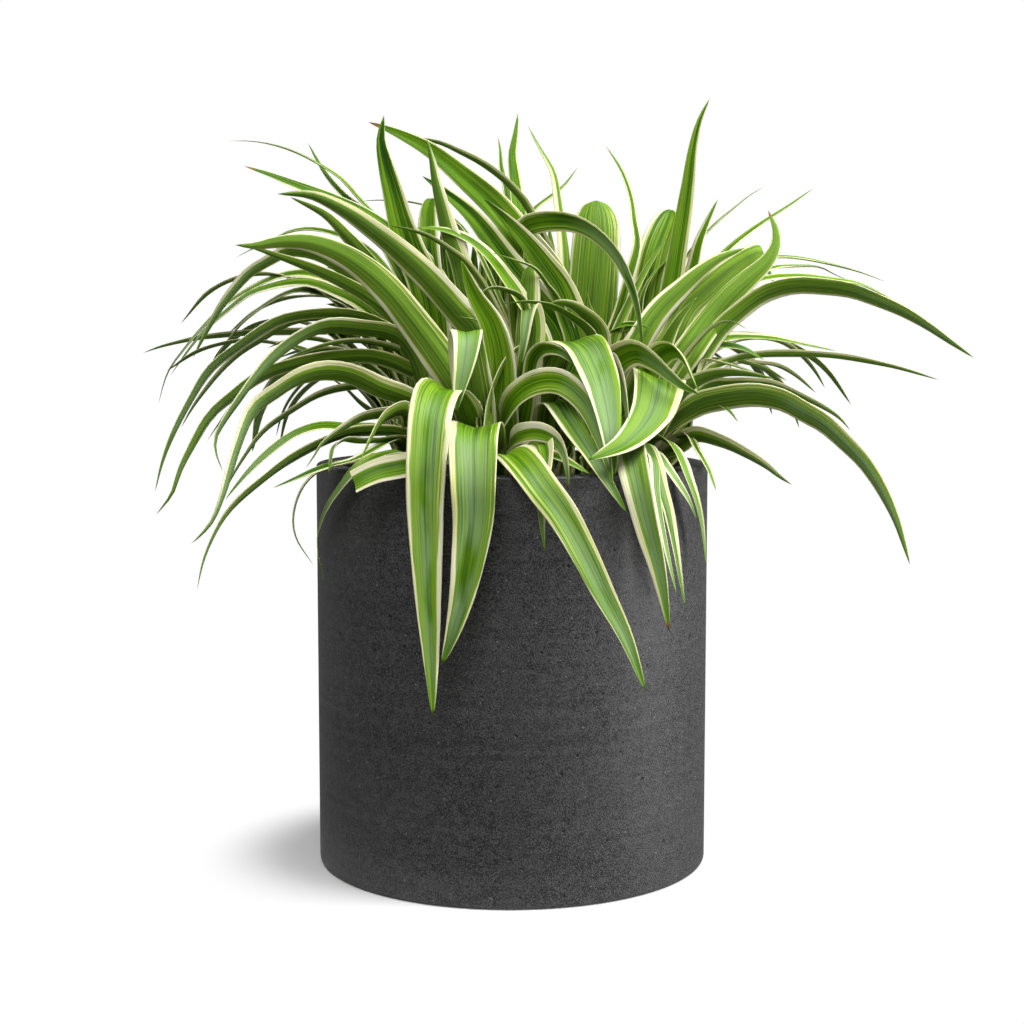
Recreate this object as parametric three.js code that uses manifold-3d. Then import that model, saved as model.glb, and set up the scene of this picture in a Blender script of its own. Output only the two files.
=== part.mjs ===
// A variegated spider plant in a dark cylinder planter.
// Millimetres, +Z up, origin at the centre of the pot's base. The front of the plant faces -Y.

import * as THREE from "three";
import { mergeVertices } from "three/addons/utils/BufferGeometryUtils.js";
import Module from "manifold-3d";

const wasm = await Module();
wasm.setup();

// ---------------------------------------------------------------- driving dimensions

const GAP = 0.3; // between pieces that rest in one another

const POT_RADIUS = 100;
const POT_HEIGHT = 205;
const POT_WALL = 12.5;
const POT_FLOOR = 14;
const RIM_EDGE = 1.2; // softened edges of the rim
const BASE_EDGE = 2.5; // rounded edge at the foot
const POT_SIDES = 64;

const SOIL_RADIUS = (POT_RADIUS - POT_WALL) * Math.cos(Math.PI / POT_SIDES) - GAP;
const SOIL_TOP = 183; // 22 mm below the rim
const SOIL_DOME = 3; // how much higher the soil stands at the middle
const SOIL_LUMP = 0.65; // height of each wave of its lumps
const SOIL_WAVES = { x: 0.31, y: 0.27, both: 0.17, start: 1.3 }; // radians a mm, and where they start
const SOIL_RINGS = 5;
const SOIL_SIDES = 24;
const HOLE_HEIGHT = 60; // of a tuft's hole, from its floor to well above the soil

const STUB_RADIUS = 11; // the pale bundle of leaf bases of a tuft, standing in the soil
const STUB_DEPTH = 14; // how far it stands in the soil
const STUB_UPRIGHT = 5; // height above the soil where it starts to lean
const STUB_RISE = 30; // height of its top above the soil
const STUB_TOP_RADIUS = 8;
const STUB_SIDES = 14;

// A leaf starts sunk in the bundle and leaves it at its neck. Each pair is for a level leaf and an
// upright one, as a share of the bundle's height or of its top radius.
const NECK_RISE = [0.45, 0.95];
const NECK_REACH = [0.8, 0.1];
const ROOT_RISE = 0.55; // of the neck's own rise and reach
const ROOT_REACH = 0.5;
const LEVEL_FROM = 0.6; // share of the bundle's height that a leaf's slope is judged from

const BLADE_THICK = 1.2; // at the midrib, thinning to both margins
const EDGE_LEAST = 0.7; // half width that a blade never goes under before its tip
const BASE_WIDTH = 0.4; // share of its full width that a blade grows from
const GROWN_BY = 0.4; // share of its length where it is full width
const NECK_WIDTH = 0.25; // its base is drawn in by this much more
const NECK_LENGTH = 0.28;
const TIP_CURVE = 2.6; // powers that shape the long point
const TIP_SHARP = 0.8;
const ROUND_CURVE = 22; // power that shapes a rounded end
const ROUND_LEAST = 0.4; // share of its width left at the very end of a rounded leaf
const FOLD_BASE = 34; // degrees that each half of a blade rises from flat, at its base
const FOLD_MIDDLE = 15;
const FOLD_TIP = 20;
const FOLD_OPEN_BY = 0.45;
const FOLD_CLOSE_FROM = 0.6;
const MIDRIB_DROP = 0.4; // share of the fold that hangs below the leaf's route
const ROLLED_BY = 0.35; // share of its length over which a blade rolls about itself
const WIDEST = 0.45; // share of its length where it has its full width
const SEEN_AT = [0.4, 0.55, 0.7]; // shares of its length where the width it shows is fitted

const STEP_LENGTH = 140; // a blade gets one step for each of these
const STEP_TURN = 63; // and one for each of these degrees that it bends
const STEPS_MORE = 1.5; // on top of those
const STEPS_LEAST = 4;
const STEPS_MOST = 7;

// Where each tuft stands in the soil, and how far its bundle leans by its top.
const TUFTS = {
  west: { at: [-48, 6], lean: [-9, 0] },
  front: { at: [-12, -38], lean: [-1, -6] },
  centre: { at: [10, 4], lean: [-2, 0] },
  back_left: { at: [-20, 46], lean: [-3, 5] },
  back_right: { at: [26, 48], lean: [3, 5] },
  east: { at: [55, 8], lean: [10, 2] },
  front_east: { at: [34, -34], lean: [5, -4] },
};

// ---------------------------------------------------------------- the view the routes are read in

// A leaf's route is a list of [across, down, depth] as seen from an eye straight in front of the
// pot: the first two in picture units on a square picture, and the depth in mm along +Y from the
// pot's axis. Where a depth is left out it runs evenly between its neighbours.
const EYE = new THREE.Vector3(0, -948, 271.5);
const EYE_PITCH = THREE.MathUtils.degToRad(5.57);
const PICTURE_MIDDLE = 512;
const PICTURE_FOCAL = 1848.9; // focal length in picture units

const LOOK = new THREE.Vector3(0, Math.cos(EYE_PITCH), -Math.sin(EYE_PITCH));
const LOOK_UP = new THREE.Vector3(0, Math.sin(EYE_PITCH), Math.cos(EYE_PITCH));

function place(across, down, depth) {
  const ray = LOOK.clone()
    .addScaledVector(new THREE.Vector3(1, 0, 0), (across - PICTURE_MIDDLE) / PICTURE_FOCAL)
    .addScaledVector(LOOK_UP, (PICTURE_MIDDLE - down) / PICTURE_FOCAL);
  return EYE.clone().addScaledVector(ray, (depth - EYE.y) / ray.y);
}

// ---------------------------------------------------------------- leaves traced from the front

// [tuft, width seen in picture units, route from the tuft out to the tip]; a "cut" leaf
// ends bluntly, and a "round" one in a broad curve.
const TRACED = [
  // left, upper
  ["centre", 22, [[478, 372, 5], [452, 310, 18], [420, 258, 24], [385, 230], [360, 213], [330, 199],
    [300, 187], [270, 175], [244, 166, 35]]],
  ["centre", 30, [[497, 395, -12], [478, 335, -15], [455, 308], [430, 280], [400, 252], [370, 228],
    [340, 208], [310, 195], [277, 194, -20]]],
  ["west", 20, [[425, 345, 0], [400, 305], [365, 258], [345, 235], [325, 215], [290, 197, 5]]],
  ["front", 34, [[480, 425, -24], [455, 382, -32], [430, 345], [410, 318], [390, 293], [365, 270],
    [340, 254], [310, 243], [280, 242], [255, 246], [235, 245, -50]]],
  ["west", 10, [[420, 335, 10], [385, 270], [360, 245], [335, 234], [310, 229], [288, 232], [270, 241],
    [252, 249], [235, 258, 45]]],
  ["west", 16, [[415, 345, -5], [378, 305], [345, 284], [320, 272], [300, 264], [280, 257], [260, 250],
    [242, 245, 5]]],
  ["west", 13, [[415, 360, 5], [385, 305], [345, 272], [320, 256], [300, 251], [285, 252], [270, 260],
    [250, 272], [235, 288], [222, 305], [210, 325], [201, 342], [193, 358, 25]]],
  ["west", 8, [[410, 370, 10], [380, 315], [345, 288], [320, 276], [300, 273], [280, 276], [260, 284],
    [240, 295], [220, 309], [205, 325], [185, 348], [168, 372], [158, 405, 60]]],
  ["west", 11, [[408, 372, 5], [370, 312], [330, 290], [310, 283], [290, 283], [270, 287], [250, 294],
    [235, 305], [220, 317], [205, 330], [185, 355], [170, 376, 35]]],
  ["west", 9, [[400, 380, 8], [360, 312], [320, 292], [300, 290], [285, 294], [270, 302], [255, 312],
    [240, 325], [228, 340], [218, 355], [207, 378, 55]]],
  ["west", 8, [[400, 385, 5], [350, 335], [300, 332], [280, 332], [250, 333], [225, 335], [200, 338],
    [180, 342], [160, 347], [143, 353, 80]]],
  // left, arching down
  ["west", 11, [[425, 385, -5], [405, 343], [385, 327], [360, 317], [330, 314], [300, 316], [280, 321],
    [260, 332], [240, 346], [212, 368], [187, 407], [172, 437], [162, 464], [155, 492, -15]]],
  ["west", 8, [[400, 390, 5], [360, 330], [320, 318], [290, 323], [260, 340], [240, 353], [220, 372],
    [200, 397], [190, 412], [181, 428, 20]]],
  ["west", 16, [[425, 395, -15], [400, 338], [360, 328], [325, 327], [300, 337], [275, 356], [255, 378],
    [240, 398], [225, 420], [216, 438], [216, 452], [223, 472, -65]]],
  ["west", 5, [[395, 392, 0], [340, 350], [290, 360], [245, 390], [232, 405], [218, 425],
    [207, 441, -10]]],
  ["west", 15, [[440, 415, -12], [430, 384], [410, 371], [390, 362], [370, 357], [350, 357], [320, 360],
    [290, 366], [262, 376], [235, 395], [212, 414], [193, 445], [180, 471], [172, 494],
    [156, 515, -45]]],
  ["west", 18, [[430, 430, -15], [415, 402], [380, 388], [350, 374], [325, 371], [300, 377], [275, 392],
    [254, 408], [238, 445], [229, 474], [222, 498], [213, 520], [203, 533], [191, 544, -85]]],
  ["west", 8, [[425, 420, -5], [392, 388], [350, 387], [321, 394], [293, 410], [264, 431], [245, 456],
    [229, 483], [222, 500, -30]]],
  ["west", 9, [[420, 445, -15], [380, 428], [350, 428], [321, 426], [297, 433], [273, 449], [252, 468],
    [237, 485], [225, 500, -55]]],
  ["west", 9, [[425, 455, -20], [405, 434], [379, 431], [350, 433], [321, 443], [293, 458], [264, 479],
    [237, 502], [222, 521], [210, 544], [203, 563], [197, 590, -80]]],
  ["west", 14, [[430, 440, -25], [411, 415], [379, 414], [360, 418], [340, 430], [321, 445], [314, 456],
    [306, 468, -75]]],
  ["west", 8, [[400, 400, 20], [350, 372], [320, 370], [303, 383], [290, 399], [282, 415],
    [276, 437, 70]]],
  ["west", 7, [[425, 468, -22], [405, 453, -42], [375, 457, -70], [360, 466, -76], [350, 475, -74],
    [340, 488, -68], [330, 503, -61], [323, 517, -54], [318, 535, -48], [318, 550], [325, 584, -50]]],
  ["front", 26, [[455, 440, -50], [440, 453, -70], [420, 463, -89], [400, 467, -95], [380, 471, -94],
    [365, 477], [354, 483, -92]], "cut"],
  ["west", 5, [[400, 440, -20], [350, 461, -62], [330, 466, -61], [314, 474, -57], [303, 486],
    [295, 505], [293, 524], [297, 540], [314, 566, -62]]],
  ["west", 8, [[400, 440, -25], [375, 441], [361, 441], [343, 440], [334, 447], [331, 458],
    [329, 474, -75]]],
  ["west", 12, [[405, 410, -40], [388, 415], [378, 425], [370, 440], [360, 461, -95]]],
  ["west", 7, [[425, 462, -25], [400, 455, -35], [361, 460], [333, 465, -60], [317, 470], [290, 481],
    [273, 488, -85]]],
  ["west", 8, [[420, 400, -10], [405, 355], [375, 343], [350, 341], [325, 345], [300, 353],
    [279, 362, -40]]],
  ["west", 20, [[432, 380, 10], [408, 330], [386, 300], [366, 284], [345, 273], [326, 267, 34]]],
  ["west", 18, [[428, 392, 8], [402, 346], [376, 319], [350, 307], [326, 304, 34]]],
  ["west", 5, [[430, 330, 28], [400, 252], [381, 222], [360, 200], [340, 178], [310, 159], [290, 150],
    [270, 144], [250, 141], [229, 141, 62]]],
  ["west", 14, [[420, 330, 20], [385, 245], [358, 208], [345, 197], [330, 180], [318, 162],
    [308, 143, 60]]],
  ["west", 6, [[410, 440, 0], [372, 412], [360, 403], [345, 388], [330, 378, 30]]],
  // middle, upper
  ["west", 36, [[432, 380, 10], [432, 320], [423, 280], [412, 255], [402, 225], [394, 195], [386, 165],
    [381, 140], [384, 115, 15]]],
  ["centre", 33, [[560, 300, 25], [520, 235, 22], [495, 205], [465, 178], [430, 150], [395, 132],
    [368, 122, 25]]],
  ["back_right", 10, [[565, 300, 35], [528, 208, 35], [515, 191], [500, 176], [480, 162], [460, 152],
    [440, 143], [420, 139], [393, 134, 45]]],
  ["back_right", 5, [[500, 300, 40], [460, 225], [425, 205], [380, 200], [355, 202, 70]]],
  ["back_left", 30, [[476, 400, 50], [470, 345], [462, 300], [456, 262], [451, 222, 58]], "round"],
  ["back_left", 32, [[486, 400, 48], [493, 345], [495, 305], [494, 275], [491, 250, 62]], "round"],
  ["back_left", 28, [[500, 400, 50], [510, 345], [514, 305], [513, 280], [511, 258, 58]], "round"],
  ["back_left", 22, [[466, 390, 48], [446, 335], [424, 292], [402, 264], [380, 243], [362, 231, 54]]],
  ["centre", 26, [[485, 350, 0], [470, 300], [460, 262], [450, 235], [443, 210], [437, 185], [432, 160],
    [427, 139, 5]]],
  ["centre", 32, [[565, 345, 20], [530, 290, 15], [508, 262], [492, 240], [470, 213], [445, 192],
    [422, 176, 10]]],
  ["centre", 32, [[580, 350, 6], [570, 310, 8], [560, 285], [548, 268], [528, 242], [505, 218],
    [484, 199, 12]]],
  ["back_right", 22, [[545, 330, 56], [525, 250], [517, 198], [514, 175], [512, 155], [515, 135],
    [518, 113, 66]]],
  ["back_right", 14, [[540, 330, 50], [515, 240], [505, 185], [501, 168], [500, 150], [498, 137, 75]]],
  ["back_right", 13, [[570, 350, 30], [567, 300], [565, 270], [563, 240], [558, 200], [553, 172],
    [541, 150], [528, 126, 40]]],
  ["back_right", 12, [[520, 300, 40], [523, 240], [532, 212], [548, 198], [563, 186], [578, 167, 60]]],
  ["back_right", 50, [[585, 400, 36], [588, 340, 34], [592, 300, 33], [595, 262, 34], [597, 230, 37],
    [596, 201, 44]], "round"],
  ["centre", 22, [[524, 400, 0], [526, 340, 4], [528, 310, 6], [529, 285, 8], [530, 266, 12]], "round"],
  ["centre", 7, [[575, 345, 12], [558, 298], [548, 285], [535, 268], [515, 260], [490, 252, 0]]],
  ["centre", 16, [[545, 345, 5], [520, 297], [505, 275], [488, 254], [465, 237], [440, 229],
    [416, 228, 0]]],
  ["centre", 9, [[510, 350, -5], [487, 292], [465, 262], [450, 250], [430, 237], [410, 230],
    [386, 225, 0]]],
  ["west", 27, [[440, 380, 20], [434, 320], [430, 270, 26], [428, 235, 30], [429, 208, 38],
    [433, 198, 50], [438, 204, 64], [441, 222, 76]]],
  ["front", 34, [[502, 455, -30], [500, 400, -32], [500, 360], [492, 325], [475, 295],
    [461, 260, -38]]],
  ["front", 40, [[480, 440, -35], [472, 385, -45], [466, 345, -52], [466, 331, -60], [467, 340, -70],
    [464, 365, -76], [459, 390, -78], [456, 413, -80]]],
  ["centre", 28, [[528, 380, -20], [534, 330, -30], [531, 308, -42], [528, 318, -52], [525, 340, -58],
    [521, 366, -60]]],
  ["east", 14, [[605, 400, -5], [590, 335, -12], [572, 318], [550, 306], [525, 302], [503, 304, -30]]],
  ["east", 26, [[600, 380, 0], [598, 330, -8], [582, 312], [568, 304], [553, 303], [544, 309, -22]]],
  ["east", 9, [[606, 390, 0], [602, 345], [597, 325], [590, 307], [586, 290, 5]]],
  ["centre", 12, [[530, 370, -10], [522, 300, -12], [505, 290], [490, 288], [478, 296],
    [470, 312, -24]]],
  ["centre", 6, [[505, 350, -15], [480, 322], [456, 316, -30]]],
  ["front", 20, [[520, 430, -28], [530, 382, -34], [533, 360, -38], [543, 349, -44], [560, 351, -50],
    [578, 367, -56]]],
  ["centre", 20, [[522, 345, 24], [517, 290, 26], [515, 250, 24], [523, 229, 18], [540, 222, 10],
    [556, 221, 2], [570, 222, -5], [588, 229, -12], [604, 241, -16], [618, 258], [630, 282], [637, 305],
    [641, 330], [643, 357, -30]]],
  // right, upper
  ["east", 20, [[652, 405, -4], [664, 352, -14], [679, 320, -24], [697, 297, -27]]],
  ["east", 21, [[640, 400, 10], [658, 345], [672, 290], [680, 240], [688, 190], [693, 150], [700, 120],
    [710, 98, 30]]],
  ["east", 19, [[655, 380, 15], [678, 320], [692, 270], [698, 245], [708, 220], [718, 199, 40]]],
  ["east", 5, [[660, 340, 20], [685, 260], [710, 229], [735, 207], [750, 195], [765, 186, 60]]],
  ["east", 9, [[660, 350, 25], [700, 280], [730, 248], [750, 232], [770, 218], [790, 205],
    [814, 188, 85]]],
  ["east", 30, [[655, 400, -5], [690, 350, -10], [710, 322], [730, 297], [750, 278], [767, 262],
    [776, 245], [776, 230], [768, 210, 10]]],
  ["east", 28, [[615, 385, -5], [640, 340, -8], [660, 310], [680, 290], [700, 272], [720, 258],
    [745, 248, 5]]],
  ["east", 28, [[635, 395, -2], [672, 335, 0], [688, 305], [705, 290], [725, 272], [745, 258],
    [757, 252, 20], [765, 262, 45], [775, 285, 70]]],
  ["east", 8, [[640, 350, 10], [643, 295, 18], [655, 272], [671, 257, 25]]],
  ["east", 31, [[635, 380, 15], [646, 290, 25], [655, 250, 28], [663, 228, 33],
    [671, 210, 42]], "round"],
  ["east", 13, [[600, 420, 10], [608, 345, 12], [618, 315], [628, 280], [637, 245], [634, 220],
    [631, 198], [622, 172], [606, 146, 20]]],
  ["east", 12, [[602, 410, 3], [612, 345], [630, 300], [650, 262], [668, 235, 10]]],
  // right, arching out
  ["east", 9, [[680, 370, 20], [700, 320], [725, 285], [750, 264], [775, 257], [800, 258], [830, 264],
    [860, 272], [886, 282, 60]]],
  ["east", 10, [[685, 375, 15], [712, 320], [740, 285], [774, 268], [796, 266], [820, 267], [836, 275],
    [850, 281, 50]]],
  ["east", 8, [[690, 380, 10], [705, 335], [730, 295], [760, 280], [800, 276], [830, 279], [860, 284],
    [885, 296], [915, 315, 40]]],
  ["east", 20, [[680, 410, 0], [690, 380], [705, 352], [722, 328], [740, 312], [760, 297], [780, 289],
    [800, 286], [820, 287], [850, 291], [880, 302], [905, 313], [930, 328], [950, 342],
    [974, 358, -15]]],
  ["east", 12, [[680, 400, 5], [700, 352], [722, 338], [742, 336], [773, 338], [803, 344],
    [836, 351, 45]]],
  ["east", 8, [[680, 405, 10], [705, 360], [730, 343], [755, 338], [781, 342], [800, 354], [814, 370],
    [825, 388, 90]]],
  ["east", 8, [[690, 405, 0], [705, 372], [728, 361], [742, 357], [771, 354], [803, 354], [844, 357],
    [885, 365], [905, 370], [939, 380, 25]]],
  ["east", 7, [[690, 410, -5], [705, 361, -5], [722, 362], [742, 368], [758, 374], [775, 378, -30]]],
  ["east", 5, [[690, 405, 5], [725, 360], [750, 364], [766, 369], [787, 381, 55]]],
  ["east", 5, [[690, 410, 8], [730, 365], [762, 363], [779, 366], [795, 375], [816, 393, 75]]],
  ["east", 20, [[650, 440, -14], [664, 415, -20], [680, 392, -26], [700, 379, -30], [722, 373],
    [748, 374], [774, 379, -45]]],
  ["east", 22, [[650, 450, -8], [660, 434, -10], [681, 416], [701, 404], [722, 399], [742, 396],
    [762, 396], [783, 401], [803, 412], [824, 424], [844, 442], [864, 463], [881, 489], [895, 518],
    [903, 542], [910, 565, -70]]],
  ["east", 30, [[656, 460, 6], [670, 447, 8], [681, 430, 8], [687, 412], [689, 396, 4]]],
  ["east", 11, [[670, 430, 0], [707, 386], [732, 383], [754, 383], [773, 385], [809, 400], [838, 417],
    [850, 430, -10]]],
  ["east", 4, [[680, 430, 0], [700, 408], [715, 403], [728, 410], [738, 422, -30]]],
  ["east", 14, [[680, 445, -5], [694, 435, -8], [720, 441], [745, 453], [765, 465], [780, 477],
    [792, 485, -35]]],
  ["east", 6, [[675, 440, -4], [688, 436, -12], [697, 450], [707, 467], [716, 490, -60]]],
  ["front_east", 36, [[600, 430, -20], [606, 390, -33], [616, 362, -42], [634, 352, -50],
    [652, 360, -58], [670, 375, -65], [684, 386], [699, 394, -75]]],
  ["east", 9, [[660, 400, -15], [680, 365, -20], [697, 342], [714, 326], [730, 321], [747, 329, -45]]],
  // front, hanging over the rim
  ["front_east", 34, [[626, 432, -18], [639, 392, -24], [649, 368, -30], [662, 353, -36],
    [674, 350, -44], [684, 359, -52], [691, 374, -58], [698, 391, -62]]],
  ["front", 43, [[478, 455, -30], [462, 405, -50], [450, 388, -65], [440, 388, -78], [431, 410, -95],
    [427, 450, -103], [425, 500, -106], [426, 540], [428, 600, -110], [431, 660], [433, 717, -112]]],
  ["front", 50, [[490, 455, -35], [482, 432, -60], [476, 425, -75], [473, 440, -97], [473, 480, -109],
    [473, 520], [468, 560, -111], [461, 600], [450, 641], [441, 666, -112]]],
  ["front", 34, [[492, 462, -45], [500, 455, -66], [512, 453, -86], [527, 467, -104], [543, 489, -111],
    [561, 513], [584, 554], [604, 595], [625, 636], [646, 692, -108]]],
  ["front", 17, [[535, 440, -60], [546, 450, -86], [545, 475, -104], [542, 500, -105], [543, 530],
    [545, 553, -105]]],
  ["front", 16, [[505, 455, -30], [511, 441, -44], [521, 434, -60], [540, 432], [557, 441],
    [566, 460, -98], [569, 489, -103]]],
  ["front", 12, [[508, 456, -35], [525, 447, -55], [545, 452, -75], [565, 460, -90], [590, 474, -102]]],
  ["front", 27, [[548, 450, -24], [547, 422, -28], [549, 405, -38], [556, 402, -50], [566, 416, -64],
    [580, 438, -80], [594, 460, -92], [609, 484, -98], [627, 513, -101]]],
  ["front", 24, [[497, 440, -30], [512, 400, -42], [535, 383], [560, 382], [583, 400], [598, 430],
    [608, 460], [613, 486, -104]]],
  ["centre", 52, [[536, 425, 2], [544, 388, -4], [553, 358, -14], [570, 340, -32], [584, 346, -48],
    [593, 361, -60], [600, 380, -72], [605, 400, -81], [609, 422, -88], [611, 445, -94],
    [614, 478, -98]]],
  ["front_east", 12, [[600, 400, -24], [606, 370, -37], [612, 361, -46], [619, 372, -58],
    [624, 390, -70], [627, 410, -80], [629, 437, -90]]],
  ["front_east", 57, [[628, 440, -22], [647, 400, -28], [658, 377, -40], [659, 380, -52],
    [657, 395, -64], [652, 412, -76], [640, 430, -88], [624, 444, -97], [606, 453, -103],
    [588, 460, -107]]],
  ["front_east", 36, [[608, 450, -20], [612, 425, -45], [621, 428, -70], [630, 452, -90],
    [637, 484, -102], [646, 524, -106], [657, 565, -108], [665, 605], [669, 632, -112]]],
  ["front_east", 9, [[650, 455, -80], [655, 490, -90], [660, 520], [667, 555], [677, 596, -92]]],
  ["front_east", 13, [[636, 450, -40], [645, 442, -58], [653, 455, -74], [658, 470, -82],
    [662, 488, -84], [668, 510, -84], [674, 540, -82], [679, 570, -80], [685, 607, -78]]],
  ["front_east", 10, [[645, 450, -20], [655, 438, -26], [668, 441, -36], [680, 455, -52],
    [688, 475, -65], [696, 498, -63], [702, 525, -57], [706, 565, -54]]],
  ["front_east", 8, [[640, 455, -38], [653, 452, -57], [664, 463, -71], [676, 480, -76],
    [688, 499, -72], [697, 520, -66]]],
  ["front_east", 10, [[640, 430, -60], [640, 450, -88], [643, 480, -102]]],
];

// ---------------------------------------------------------------- small helpers

// A repeatable row of numbers from 0 to 1.
const DRAW_FACTOR = 16807;
const DRAW_RANGE = 2147483647;
function seeded(seed) {
  let state = seed;
  return () => {
    state = (state * DRAW_FACTOR) % DRAW_RANGE;
    return state / DRAW_RANGE;
  };
}

const mix = (a, b, t) => a + (b - a) * t;

// Eases from 0 to 1.
const smooth = (t) => {
  const s = Math.min(Math.max(t, 0), 1);
  return s * s * (3 - 2 * s);
};

function solid(positions, triangles) {
  return new wasm.Manifold(new wasm.Mesh({
    numProp: 3,
    vertProperties: new Float32Array(positions),
    triVerts: new Uint32Array(triangles),
  }));
}

function solidOf(geometry) {
  const bare = geometry.clone();
  bare.deleteAttribute("normal");
  bare.deleteAttribute("uv");
  const merged = mergeVertices(bare);
  return solid(merged.attributes.position.array, merged.index.array);
}

// Keeps the largest body, so a scrap or a sealed hollow left by joining is dropped.
function geometryOf(joined) {
  const bodies = joined.decompose();
  bodies.sort((a, b) => b.volume() - a.volume());
  const mesh = bodies[0].getMesh();
  const geometry = new THREE.BufferGeometry();
  geometry.setAttribute("position", new THREE.BufferAttribute(new Float32Array(mesh.vertProperties), 3));
  geometry.setIndex(new THREE.BufferAttribute(new Uint32Array(mesh.triVerts), 1));
  geometry.computeVertexNormals();
  return geometry;
}

// A profile of [radius, height] points turned about the Z axis.
function turned(profile, sides) {
  const geometry = new THREE.LatheGeometry(profile.map(([r, z]) => new THREE.Vector2(r, z)), sides);
  return geometry.rotateX(Math.PI / 2);
}

function named(name, geometry, look) {
  const mesh = new THREE.Mesh(geometry, new THREE.MeshStandardMaterial(look));
  mesh.name = name;
  return mesh;
}

// ---------------------------------------------------------------- pot and soil

function makePot() {
  const inner = POT_RADIUS - POT_WALL;
  const round = BASE_EDGE * (1 - Math.SQRT1_2);
  const profile = [
    [0, 0],
    [POT_RADIUS - BASE_EDGE, 0],
    [POT_RADIUS - round, round],
    [POT_RADIUS, BASE_EDGE],
    [POT_RADIUS, POT_HEIGHT - RIM_EDGE],
    [POT_RADIUS - RIM_EDGE, POT_HEIGHT],
    [inner + RIM_EDGE, POT_HEIGHT],
    [inner, POT_HEIGHT - RIM_EDGE],
    [inner, POT_FLOOR],
    [0, POT_FLOOR],
  ];
  return geometryOf(solidOf(turned(profile, POT_SIDES)));
}

// The soil is a plug with a lumpy dome on top, made of rings of points that rise by a formula.
function makeSoil() {
  const positions = [0, 0, POT_FLOOR + GAP];
  const triangles = [];
  const ring = (r, height) => {
    for (let i = 0; i < SOIL_SIDES; i += 1) {
      const angle = (i / SOIL_SIDES) * 2 * Math.PI;
      const x = r * Math.cos(angle);
      const y = r * Math.sin(angle);
      positions.push(x, y, height(x, y, r));
    }
  };
  const top = (x, y, r) => {
    const { x: waveX, y: waveY, both, start } = SOIL_WAVES;
    const lumps = Math.sin(x * waveX + start) * Math.cos(y * waveY) + Math.sin((x + y) * both);
    return SOIL_TOP + SOIL_DOME * (1 - (r / SOIL_RADIUS) ** 2) + SOIL_LUMP * lumps;
  };
  ring(SOIL_RADIUS, () => POT_FLOOR + GAP);
  for (let k = 0; k < SOIL_RINGS; k += 1) {
    ring(SOIL_RADIUS * (1 - k / SOIL_RINGS), top);
  }
  const rings = SOIL_RINGS + 1;
  const peak = positions.length / 3;
  positions.push(0, 0, top(0, 0, 0));
  for (let i = 0; i < SOIL_SIDES; i += 1) {
    const j = (i + 1) % SOIL_SIDES;
    triangles.push(0, 1 + j, 1 + i);
    for (let k = 0; k + 1 < rings; k += 1) {
      const low = 1 + k * SOIL_SIDES;
      const high = low + SOIL_SIDES;
      triangles.push(low + i, low + j, high + j, low + i, high + j, high + i);
    }
    const last = 1 + (rings - 1) * SOIL_SIDES;
    triangles.push(last + i, last + j, peak);
  }
  let soil = solid(positions, triangles);
  for (const { at: [x, y] } of Object.values(TUFTS)) {
    const wide = STUB_RADIUS + GAP;
    const hole = turned([[0, 0], [wide, 0], [wide, HOLE_HEIGHT], [0, HOLE_HEIGHT]], STUB_SIDES);
    hole.translate(x, y, SOIL_TOP - STUB_DEPTH - GAP);
    soil = soil.subtract(solidOf(hole));
  }
  return geometryOf(soil);
}

// ---------------------------------------------------------------- leaves

// Fills in the depths left out of a route, by the distance travelled across the picture.
function placed(route) {
  const travelled = [0];
  for (let i = 1; i < route.length; i += 1) {
    const step = Math.hypot(route[i][0] - route[i - 1][0], route[i][1] - route[i - 1][1]);
    travelled.push(travelled[i - 1] + step);
  }
  const known = route.map((point, i) => i).filter((i) => route[i].length > 2);
  return route.map(([across, down, depth], i) => {
    if (depth !== undefined) return place(across, down, depth);
    const before = known.filter((k) => k < i).pop();
    const after = known.find((k) => k > i);
    const share = (travelled[i] - travelled[before]) / (travelled[after] - travelled[before]);
    return place(across, down, mix(route[before][2], route[after][2], share));
  });
}

// The middle of a tuft's bundle at a height above the soil.
function bundleAt({ at, lean }, rise) {
  const share = Math.max(rise - STUB_UPRIGHT, 0) / (STUB_RISE - STUB_UPRIGHT);
  return new THREE.Vector3(at[0] + lean[0] * share, at[1] + lean[1] * share, SOIL_TOP + rise);
}

// Adds the root sunk in the tuft's bundle and the place where the leaf leaves it: steep leaves rise
// from the middle of its top, and level ones leave its side lower down, as they do round a real tuft.
function rooted(tuft, points) {
  const ahead = points[0].clone().sub(bundleAt(TUFTS[tuft], STUB_RISE * LEVEL_FROM));
  const level = Math.hypot(ahead.x, ahead.y);
  const steep = Math.min(Math.max(Math.atan2(ahead.z, level) / (Math.PI / 2), 0), 1);
  const out = new THREE.Vector3(ahead.x, ahead.y, 0).normalize();
  const rise = STUB_RISE * mix(...NECK_RISE, steep);
  const reach = Math.min(STUB_TOP_RADIUS * mix(...NECK_REACH, steep), level / 2);
  const root = bundleAt(TUFTS[tuft], rise * ROOT_RISE).addScaledVector(out, reach * ROOT_REACH);
  const neck = bundleAt(TUFTS[tuft], rise).addScaledVector(out, reach);
  return [root, neck, ...points];
}

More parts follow.
